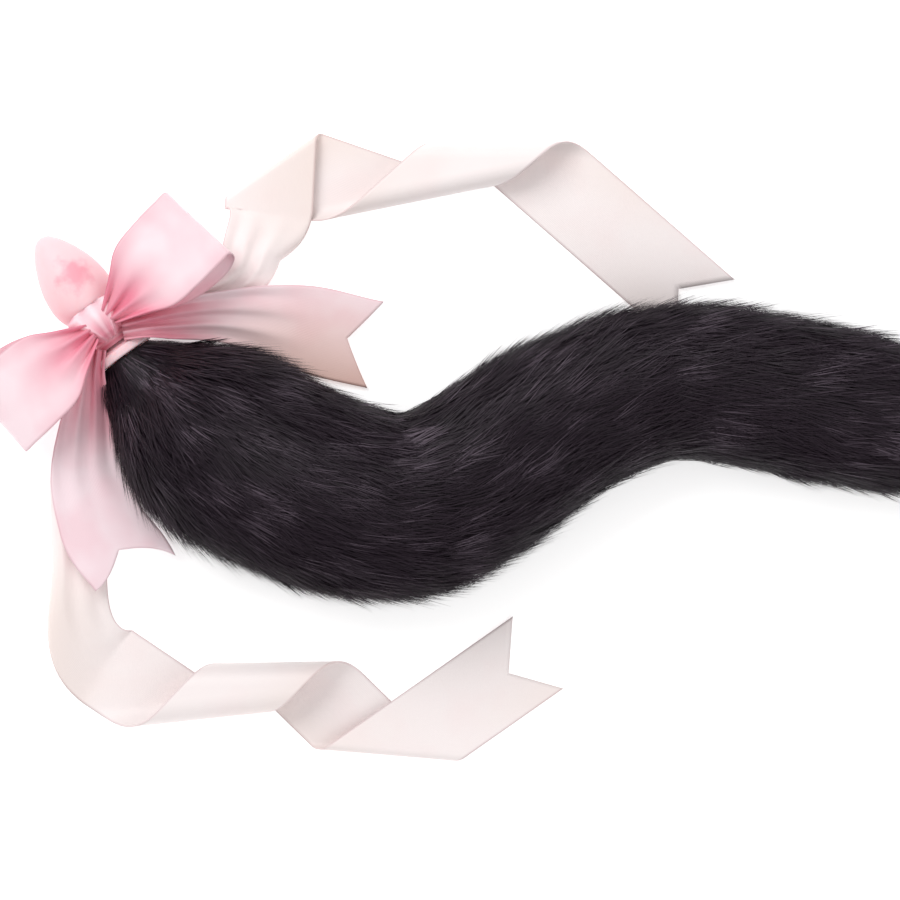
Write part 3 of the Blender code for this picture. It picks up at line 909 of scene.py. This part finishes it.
@dataclass
class Plug:
    """The plug: a domed base, a neck and a tapered bulb in one moulding."""

    diameter: float = 0.029
    bulb_length: float = 0.0435
    neck_diameter: float = 0.011
    neck_length: float = 0.0152
    base_diameter: float = 0.027
    base_thickness: float = 0.0036
    base_dome: float = 0.0024
    segments: int = 96
    outline: Rows = (
        (0.00, 0.00),
        (0.015, 0.15),
        (0.06, 0.32),
        (0.17, 0.56),
        (0.31, 0.765),
        (0.46, 0.92),
        (0.57, 0.98),
        (0.67, 1.00),
        (0.77, 0.97),
        (0.86, 0.86),
        (0.94, 0.65),
        (1.00, 0.42),
    )

    def profile(self) -> list[tuple[float, float]]:
        """Give the outline as distances along the axis and radii.

        Returns:
            Rows of distance and radius, from the middle of the base to the tip.
        """
        rim = self.base_diameter / 2
        points = []
        for i in range(1, 15):
            share = i / 14
            points.append((self.base_dome * (1 - share**2) * 0.6, rim * share * 0.97))
        for share in (0.2, 0.35, 0.5, 0.65, 0.8):
            round_over = rim * (0.985 + 0.015 * math.sin(math.pi * share))
            points.append((share * self.base_thickness, round_over))
        for i in range(14):
            share = 1 - (i + 0.3) / 14
            dome = self.base_thickness + self.base_dome * (1 - share**2)
            radius = rim * share
            if radius > self.neck_diameter / 2 * 1.05:
                points.append((dome, radius))
        neck_end = self.base_thickness + self.neck_length
        points.append((self.base_thickness + self.base_dome * 1.15, self.neck_diameter / 2))
        points.append((neck_end - 0.12 * self.neck_length, self.neck_diameter / 2))
        for share in [1 - i / 60 for i in range(60)] + [0.012, 0.006, 0.002]:
            radius = self.diameter / 2 * row_at(self.outline, share)[0]
            points.append((neck_end + self.bulb_length * (1 - share), radius))
        return points

    def build(self, layout: Layout) -> bpy.types.Object:
        """Build the plug.

        Args:
            layout: the frame's layout.

        Returns:
            The plug.
        """
        onward, left = unit(PLUG_HEADING), unit(PLUG_HEADING + 90)
        rings = []
        for distance, radius in self.profile():
            ring = []
            for i in range(self.segments):
                angle = 2 * math.pi * i / self.segments
                place = onward * distance + left * (radius * math.cos(angle))
                place.z = AXIS_HEIGHT + radius * math.sin(angle)
                ring.append(place)
            rings.append(ring)
        points, faces = closed_rings(rings)
        # the patch of painted shade lies on top of the bulb, a little to the right of its axis
        spot = layout.root + onward * 0.0400 - left * 0.0035 + Vector((0, 0, AXIS_HEIGHT + 0.013))
        finish = SiliconeFinish(spot=tuple(spot)).build()
        made = layout.piece("silicone_plug", points, faces, finish, Slot.SILICONE)
        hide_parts("plug")
        return made


@dataclass
class NeckWrap:
    """Turns of ribbon wound round the neck."""

    start: float = 0.0064
    width: float = 0.0105
    inner: float = 0.0059
    thickness: float = 0.0028
    turns: int = 4
    segments: int = 96

    def build(self, layout: Layout, finish: bpy.types.Material) -> bpy.types.Object:
        """Build the wrap as a ring with a step at each turn.

        Args:
            layout: the frame's layout.
            finish: its satin.

        Returns:
            The wrap.
        """
        onward, left = unit(PLUG_HEADING), unit(PLUG_HEADING + 90)
        steps = 8 * self.turns
        outline = [(0.0, 0.0)]
        for i in range(steps + 1):
            share = i / steps
            crown = min(1.0, 0.7 + 2.4 * min(share, 1 - share))
            outline.append((share, crown - 0.14 * abs(math.sin(math.pi * self.turns * share)) ** 6))
        outline.append((1.0, 0.0))
        points = []
        for share, out in outline:
            for i in range(self.segments):
                angle = 2 * math.pi * i / self.segments
                radius = self.inner + self.thickness * out
                place = onward * (self.start + self.width * share) + left * (radius * math.cos(angle))
                place.z = AXIS_HEIGHT + radius * math.sin(angle)
                points.append(place)
        faces = []
        rows = len(outline)
        for k in range(rows):
            for i in range(self.segments):
                here, there = k * self.segments, (k + 1) % rows * self.segments
                onto = (i + 1) % self.segments
                faces.append((here + i, here + onto, there + onto, there + i))
        made = layout.piece("ribbon_wrap", points, faces, finish, Slot.BOW)
        # deeper pink painted as shade in the grooves between the turns
        grooves = [abs(math.sin(math.pi * self.turns * share)) ** 3 for share, out in outline]
        store(made.data, "painted_shade", [0.7 + 0.3 * grooves[k // self.segments] for k in range(len(points))])
        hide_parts("neck_wrap")
        return made


@dataclass
class BowKnot:
    """The knot: pleated satin over the gathered loops, wide towards the plug and pinched behind."""

    length: float = KNOT_LENGTH
    width: float = 0.0235
    height: float = KNOT_HEIGHT
    ridges: float = 3.2
    ridge_depth: float = 0.0006
    sides: int = 120
    rings: int = 56
    sections: Rows = (
        (0.00, 0.72, 0.30),
        (0.08, 0.95, 0.62),
        (0.25, 1.00, 0.86),
        (0.50, 0.80, 1.00),
        (0.75, 0.55, 0.90),
        (0.93, 0.40, 0.66),
        (1.00, 0.30, 0.40),
    )

    def build(self, layout: Layout, finish: bpy.types.Material, plug: Plug) -> bpy.types.Object:
        """Build the knot.

        Args:
            layout: the frame's layout.
            finish: its satin.
            plug: the plug that it lies over.

        Returns:
            The knot.
        """
        onward, left = unit(PLUG_HEADING), unit(PLUG_HEADING + 90)
        rings, painted_knot_shade = [], []
        for k in range(self.rings + 1):
            share = k / self.rings
            wide, high = row_at(self.sections, share)
            along = KNOT_CENTRE + self.length * (0.5 - share)
            from_tip = (plug.neck_length + plug.base_thickness + plug.bulb_length - along) / plug.bulb_length
            beneath = plug.diameter / 2 * row_at(plug.outline, min(max(from_tip, 0.0), 1.0))[0]
            under = AXIS_HEIGHT + max(WRAP_RADIUS, beneath if from_tip < 1 else 0.0) + GAP
            rise = self.height * high
            top = max(AXIS_HEIGHT + WRAP_RADIUS + GAP + rise, under + 0.35 * rise)
            ring = []
            for i in range(self.sides):
                angle = 2 * math.pi * i / self.sides
                x = math.copysign(abs(math.cos(angle)) ** 0.75, math.cos(angle))
                z = math.sin(angle)
                fold = math.cos(math.pi * self.ridges * x + 0.9 * share) if z > 0 else 0.0
                fine = 0.4 * math.cos(math.pi * 13 * x + 3 * share) if z > 0 else 0.0
                ridge = self.ridge_depth * (fold + fine * share) * ease(z * 3)
                place = onward * along + left * (x * wide * self.width / 2)
                place.z = under + (top - under + ridge) * (0.5 + 0.5 * z)
                ring.append(place)
                # deeper pink painted as shade between the ridges and towards the pinched end
                painted_knot_shade.append(0.32 + 0.55 * ease(share * 1.5 - 0.35) - 0.14 * fold)
            rings.append(ring)
        points, faces = closed_rings(rings)
        made = layout.piece("bow_knot_pleats", points, faces, finish, Slot.BOW)
        store(made.data, "painted_shade", painted_knot_shade + [0.0] * (len(points) - len(painted_knot_shade)))
        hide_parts("bow_knot")
        return made


@dataclass
class FurTail:
    """The tail: a dark hide on its core, and long combed pile that grows out of it."""

    length: float = 0.440
    width: float = 0.0835
    height: float = 0.0600
    pile_height: float = 0.0036
    stations: int = 176
    columns: int = 56
    parts: int = 4
    triangles_per_part: int = 186000
    strand_length: float = 0.025
    strand_width: float = 0.00058
    strand_taper: float = 0.90
    strand_droop: float = 0.13
    lock_width: float = 0.0125
    lift: float = 19.0
    splay: float = 44.0
    stray_turn: float = 0.28
    stray_rise: float = 0.30
    stray_length: float = 0.26
    stray_glint: float = 0.32
    seed: int = 11
    sections: Rows = (
        (0.000, -54.0, 0.29, 0.40),
        (0.022, -46.0, 0.45, 0.52),
        (0.056, -41.0, 0.74, 0.74),
        (0.107, -36.0, 0.96, 0.93),
        (0.160, -27.0, 1.00, 1.00),
        (0.213, -22.0, 1.00, 1.00),
        (0.265, -11.0, 0.98, 0.98),
        (0.314, 9.0, 0.96, 0.95),
        (0.365, 27.0, 0.93, 0.92),
        (0.421, 33.0, 0.89, 0.90),
        (0.477, 29.0, 0.85, 0.88),
        (0.530, 20.5, 0.82, 0.86),
        (0.581, 8.5, 0.80, 0.85),
        (0.630, -2.5, 0.80, 0.84),
        (0.680, -9.0, 0.80, 0.83),
        (0.730, -11.0, 0.80, 0.82),
        (0.778, -12.0, 0.78, 0.80),
        (0.828, -11.5, 0.74, 0.78),
        (0.880, -10.0, 0.67, 0.72),
        (0.930, -8.0, 0.55, 0.62),
        (0.965, -6.0, 0.41, 0.48),
        (0.988, -5.0, 0.25, 0.32),
        (1.000, -4.0, 0.05, 0.10),
    )

    def hide_rings(self) -> list[list[Vector]]:
        """Give the rings of the hide, which lies a pile's height inside the outer form.

        Returns:
            Rings of points, from the root to the tip.
        """
        rings = []
        place = unit(PLUG_HEADING) * -GAP
        for i in range(self.stations + 1):
            share = i / self.stations
            heading, wide, high = row_at(self.sections, share)
            inset = self.pile_height * min(ease(share / 0.06), ease((1.02 - share) / 0.05))
            half_width = max(wide * self.width / 2 - inset, 0.0012)
            half_height = max(high * self.height / 2 - inset, 0.0012)
            grown = ease(share / 0.05)
            middle = AXIS_HEIGHT * (1 - grown) + (0.94 * high * self.height / 2) * grown
            left = unit(heading + 90)
            ring = []
            for j in range(self.columns):
                angle = 2 * math.pi * j / self.columns
                point = place + left * (half_width * math.cos(angle))
                point.z = max(middle + half_height * math.sin(angle), 0.0008)
                ring.append(point)
            rings.append(ring)
            place = place + unit(heading) * (self.length / self.stations)
        return rings

    def pile_tree(self, finish: bpy.types.Material) -> bpy.types.NodeTree:
        """Make the tree that grows combed strands on a patch of the hide.

        Args:
            finish: the pile's material.

        Returns:
            The node tree.
        """
        tree = bpy.data.node_groups.new("combed_pile", "GeometryNodeTree")
        face = tree.interface
        face.new_socket("Geometry", in_out="INPUT", socket_type="NodeSocketGeometry")
        for name in ("Density", "Strand Length", "Strand Width", "Lift", "Splay"):
            face.new_socket(name, in_out="INPUT", socket_type="NodeSocketFloat")
        face.new_socket("Seed", in_out="INPUT", socket_type="NodeSocketInt")
        face.new_socket("Geometry", in_out="OUTPUT", socket_type="NodeSocketGeometry")
        given = tree.nodes.new("NodeGroupInput").outputs
        points = add_node(
            tree, "GeometryNodeDistributePointsOnFaces",
            {"Mesh": given["Geometry"], "Density": given["Density"], "Seed": given["Seed"]},
        )
        comb = add_node(tree, "GeometryNodeInputNamedAttribute", {"Name": "comb"}, data_type="FLOAT_VECTOR")
        reach = add_node(tree, "GeometryNodeInputNamedAttribute", {"Name": "reach"}, data_type="FLOAT")
        here = add_node(tree, "GeometryNodeInputPosition")
        # neighbours share a turn, a rise and a painted glint, so they lie in locks
        clump = add_node(
            tree, "ShaderNodeTexNoise",
            {"Vector": here.outputs[0], "Scale": 1 / self.lock_width, "Detail": 2.5, "Roughness": 0.62},
        )
        drift = add_node(tree, "ShaderNodeSeparateXYZ", {0: clump.outputs["Color"]}).outputs
        stray = add_node(
            tree, "FunctionNodeRandomValue",
            {"Min": (-1.0, -1.0, -1.0), "Max": (1.0, 1.0, 1.0), "Seed": given["Seed"]},
            data_type="FLOAT_VECTOR",
        )
        strays = add_node(tree, "ShaderNodeSeparateXYZ", {0: stray.outputs[0]}).outputs
        upright = add_node(
            tree, "FunctionNodeAlignRotationToVector", {"Vector": points.outputs["Normal"]}, axis="Z"
        )
        combed = add_node(
            tree, "FunctionNodeAlignRotationToVector",
            {"Rotation": upright.outputs[0], "Vector": comb.outputs[0]}, axis="X", pivot_axis="Z",
        )
        turn = calculate(tree, "MULTIPLY_ADD", drift[0], 2.0, -1.0)
        turn = calculate(tree, "MULTIPLY_ADD", strays[0], self.stray_turn, turn)
        turn = calculate(tree, "MULTIPLY", turn, given["Splay"])
        rise = calculate(tree, "MULTIPLY_ADD", drift[1], 0.9, 0.35)
        rise = calculate(tree, "MULTIPLY_ADD", strays[1], self.stray_rise, rise)
        rise = calculate(tree, "MULTIPLY", rise, given["Lift"])
        down = calculate(tree, "MULTIPLY", rise, -1.0)
        angles = add_node(tree, "ShaderNodeCombineXYZ", {1: down, 2: turn})
        tilt = add_node(tree, "FunctionNodeEulerToRotation", {0: angles.outputs[0]})
        final = add_node(
            tree, "FunctionNodeRotateRotation",
            {"Rotation": combed.outputs[0], "Rotate By": tilt.outputs[0]}, rotation_space="LOCAL",
        )
        # a strand is a flat strip that tapers and droops towards its tip
        grid = add_node(
            tree, "GeometryNodeMeshGrid", {"Size X": 1.0, "Size Y": 1.0, "Vertices X": 4, "Vertices Y": 2}
        )
        spot = add_node(tree, "ShaderNodeSeparateXYZ", {0: here.outputs[0]}).outputs
        along = calculate(tree, "ADD", spot[0], 0.5)
        marked = add_node(
            tree, "GeometryNodeStoreNamedAttribute",
            {"Geometry": grid.outputs[0], "Name": "strand", "Value": along},
        )
        squared = calculate(tree, "POWER", along, 2.0)
        taper = calculate(tree, "MULTIPLY_ADD", squared, -self.strand_taper, 1.0)
        narrow = calculate(tree, "MULTIPLY", spot[1], taper)
        droop = calculate(tree, "MULTIPLY", squared, -self.strand_droop)
        shape = add_node(tree, "ShaderNodeCombineXYZ", {0: along, 1: narrow, 2: droop})
        blade = add_node(
            tree, "GeometryNodeSetPosition", {"Geometry": marked.outputs[0], "Position": shape.outputs[0]}
        )
        long = calculate(tree, "MULTIPLY_ADD", strays[2], self.stray_length, 0.95)
        long = calculate(tree, "MULTIPLY", long, reach.outputs[0])
        long = calculate(tree, "MULTIPLY", long, given["Strand Length"])
        size = add_node(tree, "ShaderNodeCombineXYZ", {0: long, 1: given["Strand Width"], 2: long})
        grown = add_node(
            tree, "GeometryNodeInstanceOnPoints",
            {"Points": points.outputs["Points"], "Instance": blade.outputs[0],
             "Rotation": final.outputs[0], "Scale": size.outputs[0]},
        )
        # glints are painted in streaks through the locks, and on some stray strands
        glint_streak = calculate(tree, "MULTIPLY_ADD", drift[2], 2.6, -0.95)
        painted_glint_weight = calculate(tree, "MULTIPLY_ADD", strays[0], self.stray_glint, glint_streak, clamp=True)
        shaded = add_node(
            tree, "GeometryNodeStoreNamedAttribute",
            {"Geometry": grown.outputs[0], "Name": "painted_glint_weight", "Value": painted_glint_weight}, domain="INSTANCE",
        )
        real = add_node(tree, "GeometryNodeRealizeInstances", {0: shaded.outputs[0]})
        dressed = add_node(
            tree, "GeometryNodeSetMaterial", {"Geometry": real.outputs[0], "Material": finish}
        )
        add_node(tree, "NodeGroupOutput", {0: dressed.outputs[0]})
        return tree

    def build(self, layout: Layout) -> list[bpy.types.Object]:
        """Build the hide and grow the pile on it in parts along the tail.

        Args:
            layout: the frame's layout.

        Returns:
            The hide and the parts of the pile.
        """
        rings = self.hide_rings()
        points, faces = closed_rings(rings)
        backing = FurFinish("knitted_backing", root="#171115", tip="#171115", painted_glint="#1E171D", roughness=0.9)
        hide = layout.piece("tail_hide", points, faces, backing.build(), Slot.FUR)
        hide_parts("fur_tail")
        tree = self.pile_tree(FurFinish("acrylic_pile").build())
        listed = tree.interface.items_tree
        sockets = {item.name: item.identifier for item in listed if item.in_out == "INPUT"}
        areas = []
        for k in range(self.stations):
            ring, onto = rings[k], rings[k + 1]
            around = sum((ring[j] - ring[j - 1]).length for j in range(self.columns))
            onward = sum((onto[j] - ring[j]).length for j in range(self.columns)) / self.columns
            areas.append(around * onward)
        total = sum(areas)
        strands = self.triangles_per_part * self.parts / 6
        made = [hide]
        first, filled = 0, 0.0
        for part in range(self.parts):
            last = first
            while last < self.stations and filled < total * (part + 1) / self.parts - 1e-9:
                filled += areas[last]
                last += 1
            made.append(self.grow(layout, rings, first, last, tree, sockets, strands / total, part))
            first = last
        return made

    def grow(
        self, layout: Layout, rings: list[list[Vector]], first: int, last: int,
        tree: bpy.types.NodeTree, sockets: dict[str, str], density: float, part: int,
    ) -> bpy.types.Object:
        """Grow one part of the pile.

        Args:
            layout: the frame's layout.
            rings: the hide's rings.
            first: the ring where the part starts.
            last: the ring where it ends.
            tree: the pile's node tree.
            sockets: the tree's inputs, name to identifier.
            density: strands a square metre.
            part: the part's number.

        Returns:
            The part as a plain mesh.
        """
        patch = [point for ring in rings[first : last + 1] for point in ring]
        faces = []
        for k in range(last - first):
            for i in range(self.columns):
                a, b = k * self.columns + i, k * self.columns + (i + 1) % self.columns
                faces.append((a, b, b + self.columns, a + self.columns))
        mesh = bpy.data.meshes.new("patch")
        mesh.from_pydata([tuple(Vector(point) + layout.root) for point in patch], [], faces)
        mesh.attributes.new("comb", "FLOAT_VECTOR", "POINT")
        mesh.attributes.new("reach", "FLOAT", "POINT")
        comb, reach = mesh.attributes["comb"], mesh.attributes["reach"]
        for k in range(first, last + 1):
            share = k / self.stations
            trimmed = (0.55 + 0.45 * ease(share / 0.05)) * (1 - 0.50 * ease((share - 0.90) / 0.10))
            here, there = rings[min(k, self.stations - 1)], rings[min(k, self.stations - 1) + 1]
            for j in range(self.columns):
                spot = (k - first) * self.columns + j
                comb.data[spot].vector = (there[j] - here[j]).normalized()
                reach.data[spot].value = trimmed
        ground = bpy.data.objects.new("patch", mesh)
        bpy.context.scene.collection.objects.link(ground)
        grower = ground.modifiers.new("Pile", "NODES")
        grower.node_group = tree
        values = {
            "Density": density, "Strand Length": self.strand_length, "Strand Width": self.strand_width,
            "Lift": math.radians(self.lift), "Splay": math.radians(self.splay), "Seed": self.seed + part,
        }
        for name, value in values.items():
            grower[sockets[name]] = value
        graph = bpy.context.evaluated_depsgraph_get()
        pile = bpy.data.meshes.new_from_object(ground.evaluated_get(graph))
        bpy.data.objects.remove(ground)
        made = bpy.data.objects.new(f"tail_pile_{part + 1}", pile)
        bpy.context.scene.collection.objects.link(made)
        pile.name = made.name
        height = np.zeros(len(pile.vertices) * 3, np.float32)
        pile.vertices.foreach_get("co", height)
        height[2::3] = np.maximum(height[2::3], 0.0002)
        pile.vertices.foreach_set("co", height)
        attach(made, "root")
        return made


@dataclass
class Studio:
    """A pale floor, soft lights, and a camera straight above."""

    floor_side: float = 12.0
    floor_drop: float = 0.0003
    world_strength: float = 0.62
    picture_width: float = 0.3860
    centre: tuple[float, float] = (0.13896, -0.04032)
    lens: float = 200.0
    sensor: float = 36.0
    focus_height: float = 0.012

    def build(self, layout: Layout) -> None:
        """Set up the studio round the part.

        Args:
            layout: the frame's layout.
        """
        mesh = bpy.data.meshes.new("floor")
        half = self.floor_side / 2
        sides = ((-half, -half), (half, -half), (half, half), (-half, half))
        mesh.from_pydata([(x, y, -self.floor_drop) for x, y in sides], [], [(0, 1, 2, 3)])
        mesh.materials.append(FloorFinish().build())
        floor = bpy.data.objects.new("floor", mesh)
        bpy.context.scene.collection.objects.link(floor)
        world = bpy.data.worlds.new("studio")
        bpy.context.scene.world = world
        world.use_nodes = True
        world.node_tree.nodes["Background"].inputs["Color"].default_value = (1.0, 1.0, 1.0, 1.0)
        world.node_tree.nodes["Background"].inputs["Strength"].default_value = self.world_strength
        middle = layout.root + Vector((self.centre[0], self.centre[1], 0.0))
        for name, at, side, power in (
            ("key", (-0.9, 1.1, 1.5), 1.2, 21.0),
            ("fill", (1.2, -0.7, 1.6), 1.6, 9.0),
        ):
            light = bpy.data.lights.new(name, "AREA")
            light.size = side
            light.energy = power
            holder = bpy.data.objects.new(name, light)
            holder.location = middle + Vector(at)
            holder.rotation_euler = (-Vector(at)).to_track_quat("-Z", "Y").to_euler()
            bpy.context.scene.collection.objects.link(holder)
        camera = bpy.data.cameras.new("camera")
        camera.lens = self.lens
        camera.sensor_width = self.sensor
        camera.clip_end = 100.0
        holder = bpy.data.objects.new("camera", camera)
        distance = self.picture_width * self.lens / self.sensor
        holder.location = middle + Vector((0.0, 0.0, distance + self.focus_height))
        bpy.context.scene.collection.objects.link(holder)
        bpy.context.scene.camera = holder
        bpy.context.scene.view_settings.view_transform = "Standard"


def short_ends() -> tuple[ShortEnd, ShortEnd]:
    """Describe the bow's short ends.

    Returns:
        The right end and the left one. A course has rows of bearing, share of the reach, and heading.
        Sections have rows of share, height as a share of the axis's height, spanned, tilt and curl.
    """
    right = ShortEnd(
        "satin_end_right", "bow_end_right", Slot.BOW, start=(0.72, 10.0), reach=0.1145, warm_side=0.8,
        course=((20.5, 0.420, -2.0), (2.7, 0.935, -11.0)),
        sections=(
            (0.00, 1.74, 0.26, 0.0, 0.0),
            (0.07, 1.74, 0.30, 8.0, 0.0),
            (0.19, 1.22, 0.43, 0.0, 0.0),
            (0.38, 0.76, 0.58, -3.0, 0.0),
            (0.53, 0.54, 0.77, -5.0, 0.0),
            (0.71, 0.32, 0.97, -4.0, 0.0),
            (1.00, 0.07, 1.00, 0.0, 0.0),
        ),
    )
    left = ShortEnd(
        "satin_end_left", "bow_end_left", Slot.BOW, start=(-0.95, -100.0), reach=0.1050, warm_side=0.0,
        course=((-111.0, 0.457, -91.0), (-98.2, 0.689, -73.0), (-87.6, 0.889, -66.0)),
        sections=(
            (0.00, 1.66, 0.26, 0.0, 0.0),
            (0.08, 1.58, 0.30, -4.0, 0.0),
            (0.22, 1.12, 0.50, 5.0, 0.0),
            (0.46, 0.97, 0.75, 9.0, 0.0),
            (0.68, 0.93, 0.95, 9.0, 0.0),
            (0.82, 0.86, 1.00, 10.0, 0.0),
            (1.00, 0.70, 1.00, 12.0, 0.0),
        ),
    )
    return right, left


def streamers() -> tuple[Streamer, Streamer]:
    """Describe the streamers.

    Returns:
        The upper one and the lower one, in the same columns as the short ends. Bends have rows of the
        flat run before them as a share of the ribbon's width, ruling, radius and turn.
    """
    upper = Streamer(
        "satin_streamer_upper", "streamer_upper", Slot.STREAMER, start=(0.90, 38.0), reach=0.0873,
        course=((39.3, 0.790, 79.0), (45.7, 1.000, 87.0)), last_run=0.1006, floor_gap=0.0053,
        sections=(
            (0.00, 1.20, 0.26, 0.0, 0.0),
            (0.15, 0.98, 0.32, 0.0, 0.0),
            (0.35, 0.60, 0.44, 0.0, -15.0),
            (0.55, 0.44, 0.54, 0.0, -50.0),
            (0.72, 0.50, 0.68, 0.0, -85.0),
            (0.88, 0.45, 0.86, 0.0, -75.0),
            (1.00, 0.34, 1.00, 0.0, 0.0),
        ),
        bends=(
            (0.437, 127.0, 0.0022, -180.0),
            (1.017, 149.6, 0.0070, -183.0),
            (0.316, 138.5, 0.0070, -176.7),
        ),
    )
    lower = Streamer(
        "satin_streamer_lower", "streamer_lower", Slot.STREAMER, start=(-1.15, -104.0), reach=0.1340,
        course=((-102.5, 0.672, -90.0), (-93.7, 1.000, -34.0)), last_run=0.0721, floor_gap=0.0009,
        sections=(
            (0.00, 1.15, 0.25, 0.0, 0.0),
            (0.10, 1.00, 0.27, 0.0, 0.0),
            (0.30, 0.66, 0.60, 4.0, -40.0),
            (0.55, 0.55, 0.76, 10.0, -120.0),
            (0.70, 0.59, 0.78, 14.0, -150.0),
            (0.82, 0.53, 0.82, 13.0, -112.0),
            (0.92, 0.33, 0.92, 7.0, -60.0),
            (1.00, 0.036, 1.00, 0.0, 0.0),
        ),
        bends=(
            (0.708, 40.2, 0.0089, 180.0),
            (0.161, 45.5, 0.0089, 180.0),
            (1.035, 39.8, 0.0030, 186.0),
        ),
    )
    return upper, lower


def main() -> None:
    """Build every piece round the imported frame."""
    logging.basicConfig(level=logging.INFO, format="%(message)s")
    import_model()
    layout = Layout()
    layout.find_root()
    bow = SatinFinish("pink_polyester_satin", pale="#FBE4EA", deep="#E9869C", warm="#E6BCAB").build()
    streamer_satin = SatinFinish(
        "cream_polyester_satin", pale="#F8EEED", deep="#F5D9D8", warm="#E9D3C8"
    ).build()
    plug = Plug()
    log.info("plug: %s", plug.build(layout).name)
    log.info("wrap: %s", NeckWrap().build(layout, bow).name)
    log.info("knot: %s", BowKnot().build(layout, bow, plug).name)
    for name, heading in (("bow_loop_right", 47.0), ("bow_loop_left", 221.5)):
        loop = BowLoop(f"satin_{name}", name, Slot.BOW, heading=heading)
        log.info("loop: %s", loop.build(layout, bow).name)
    for end in short_ends():
        log.info("end: %s", end.build(layout, bow).name)
    for streamer in streamers():
        log.info("streamer: %s", streamer.build(layout, streamer_satin).name)
    for piece in FurTail().build(layout):
        log.info("tail: %s", piece.name)
    Studio().build(layout)


if __name__ == "__main__":
    main()
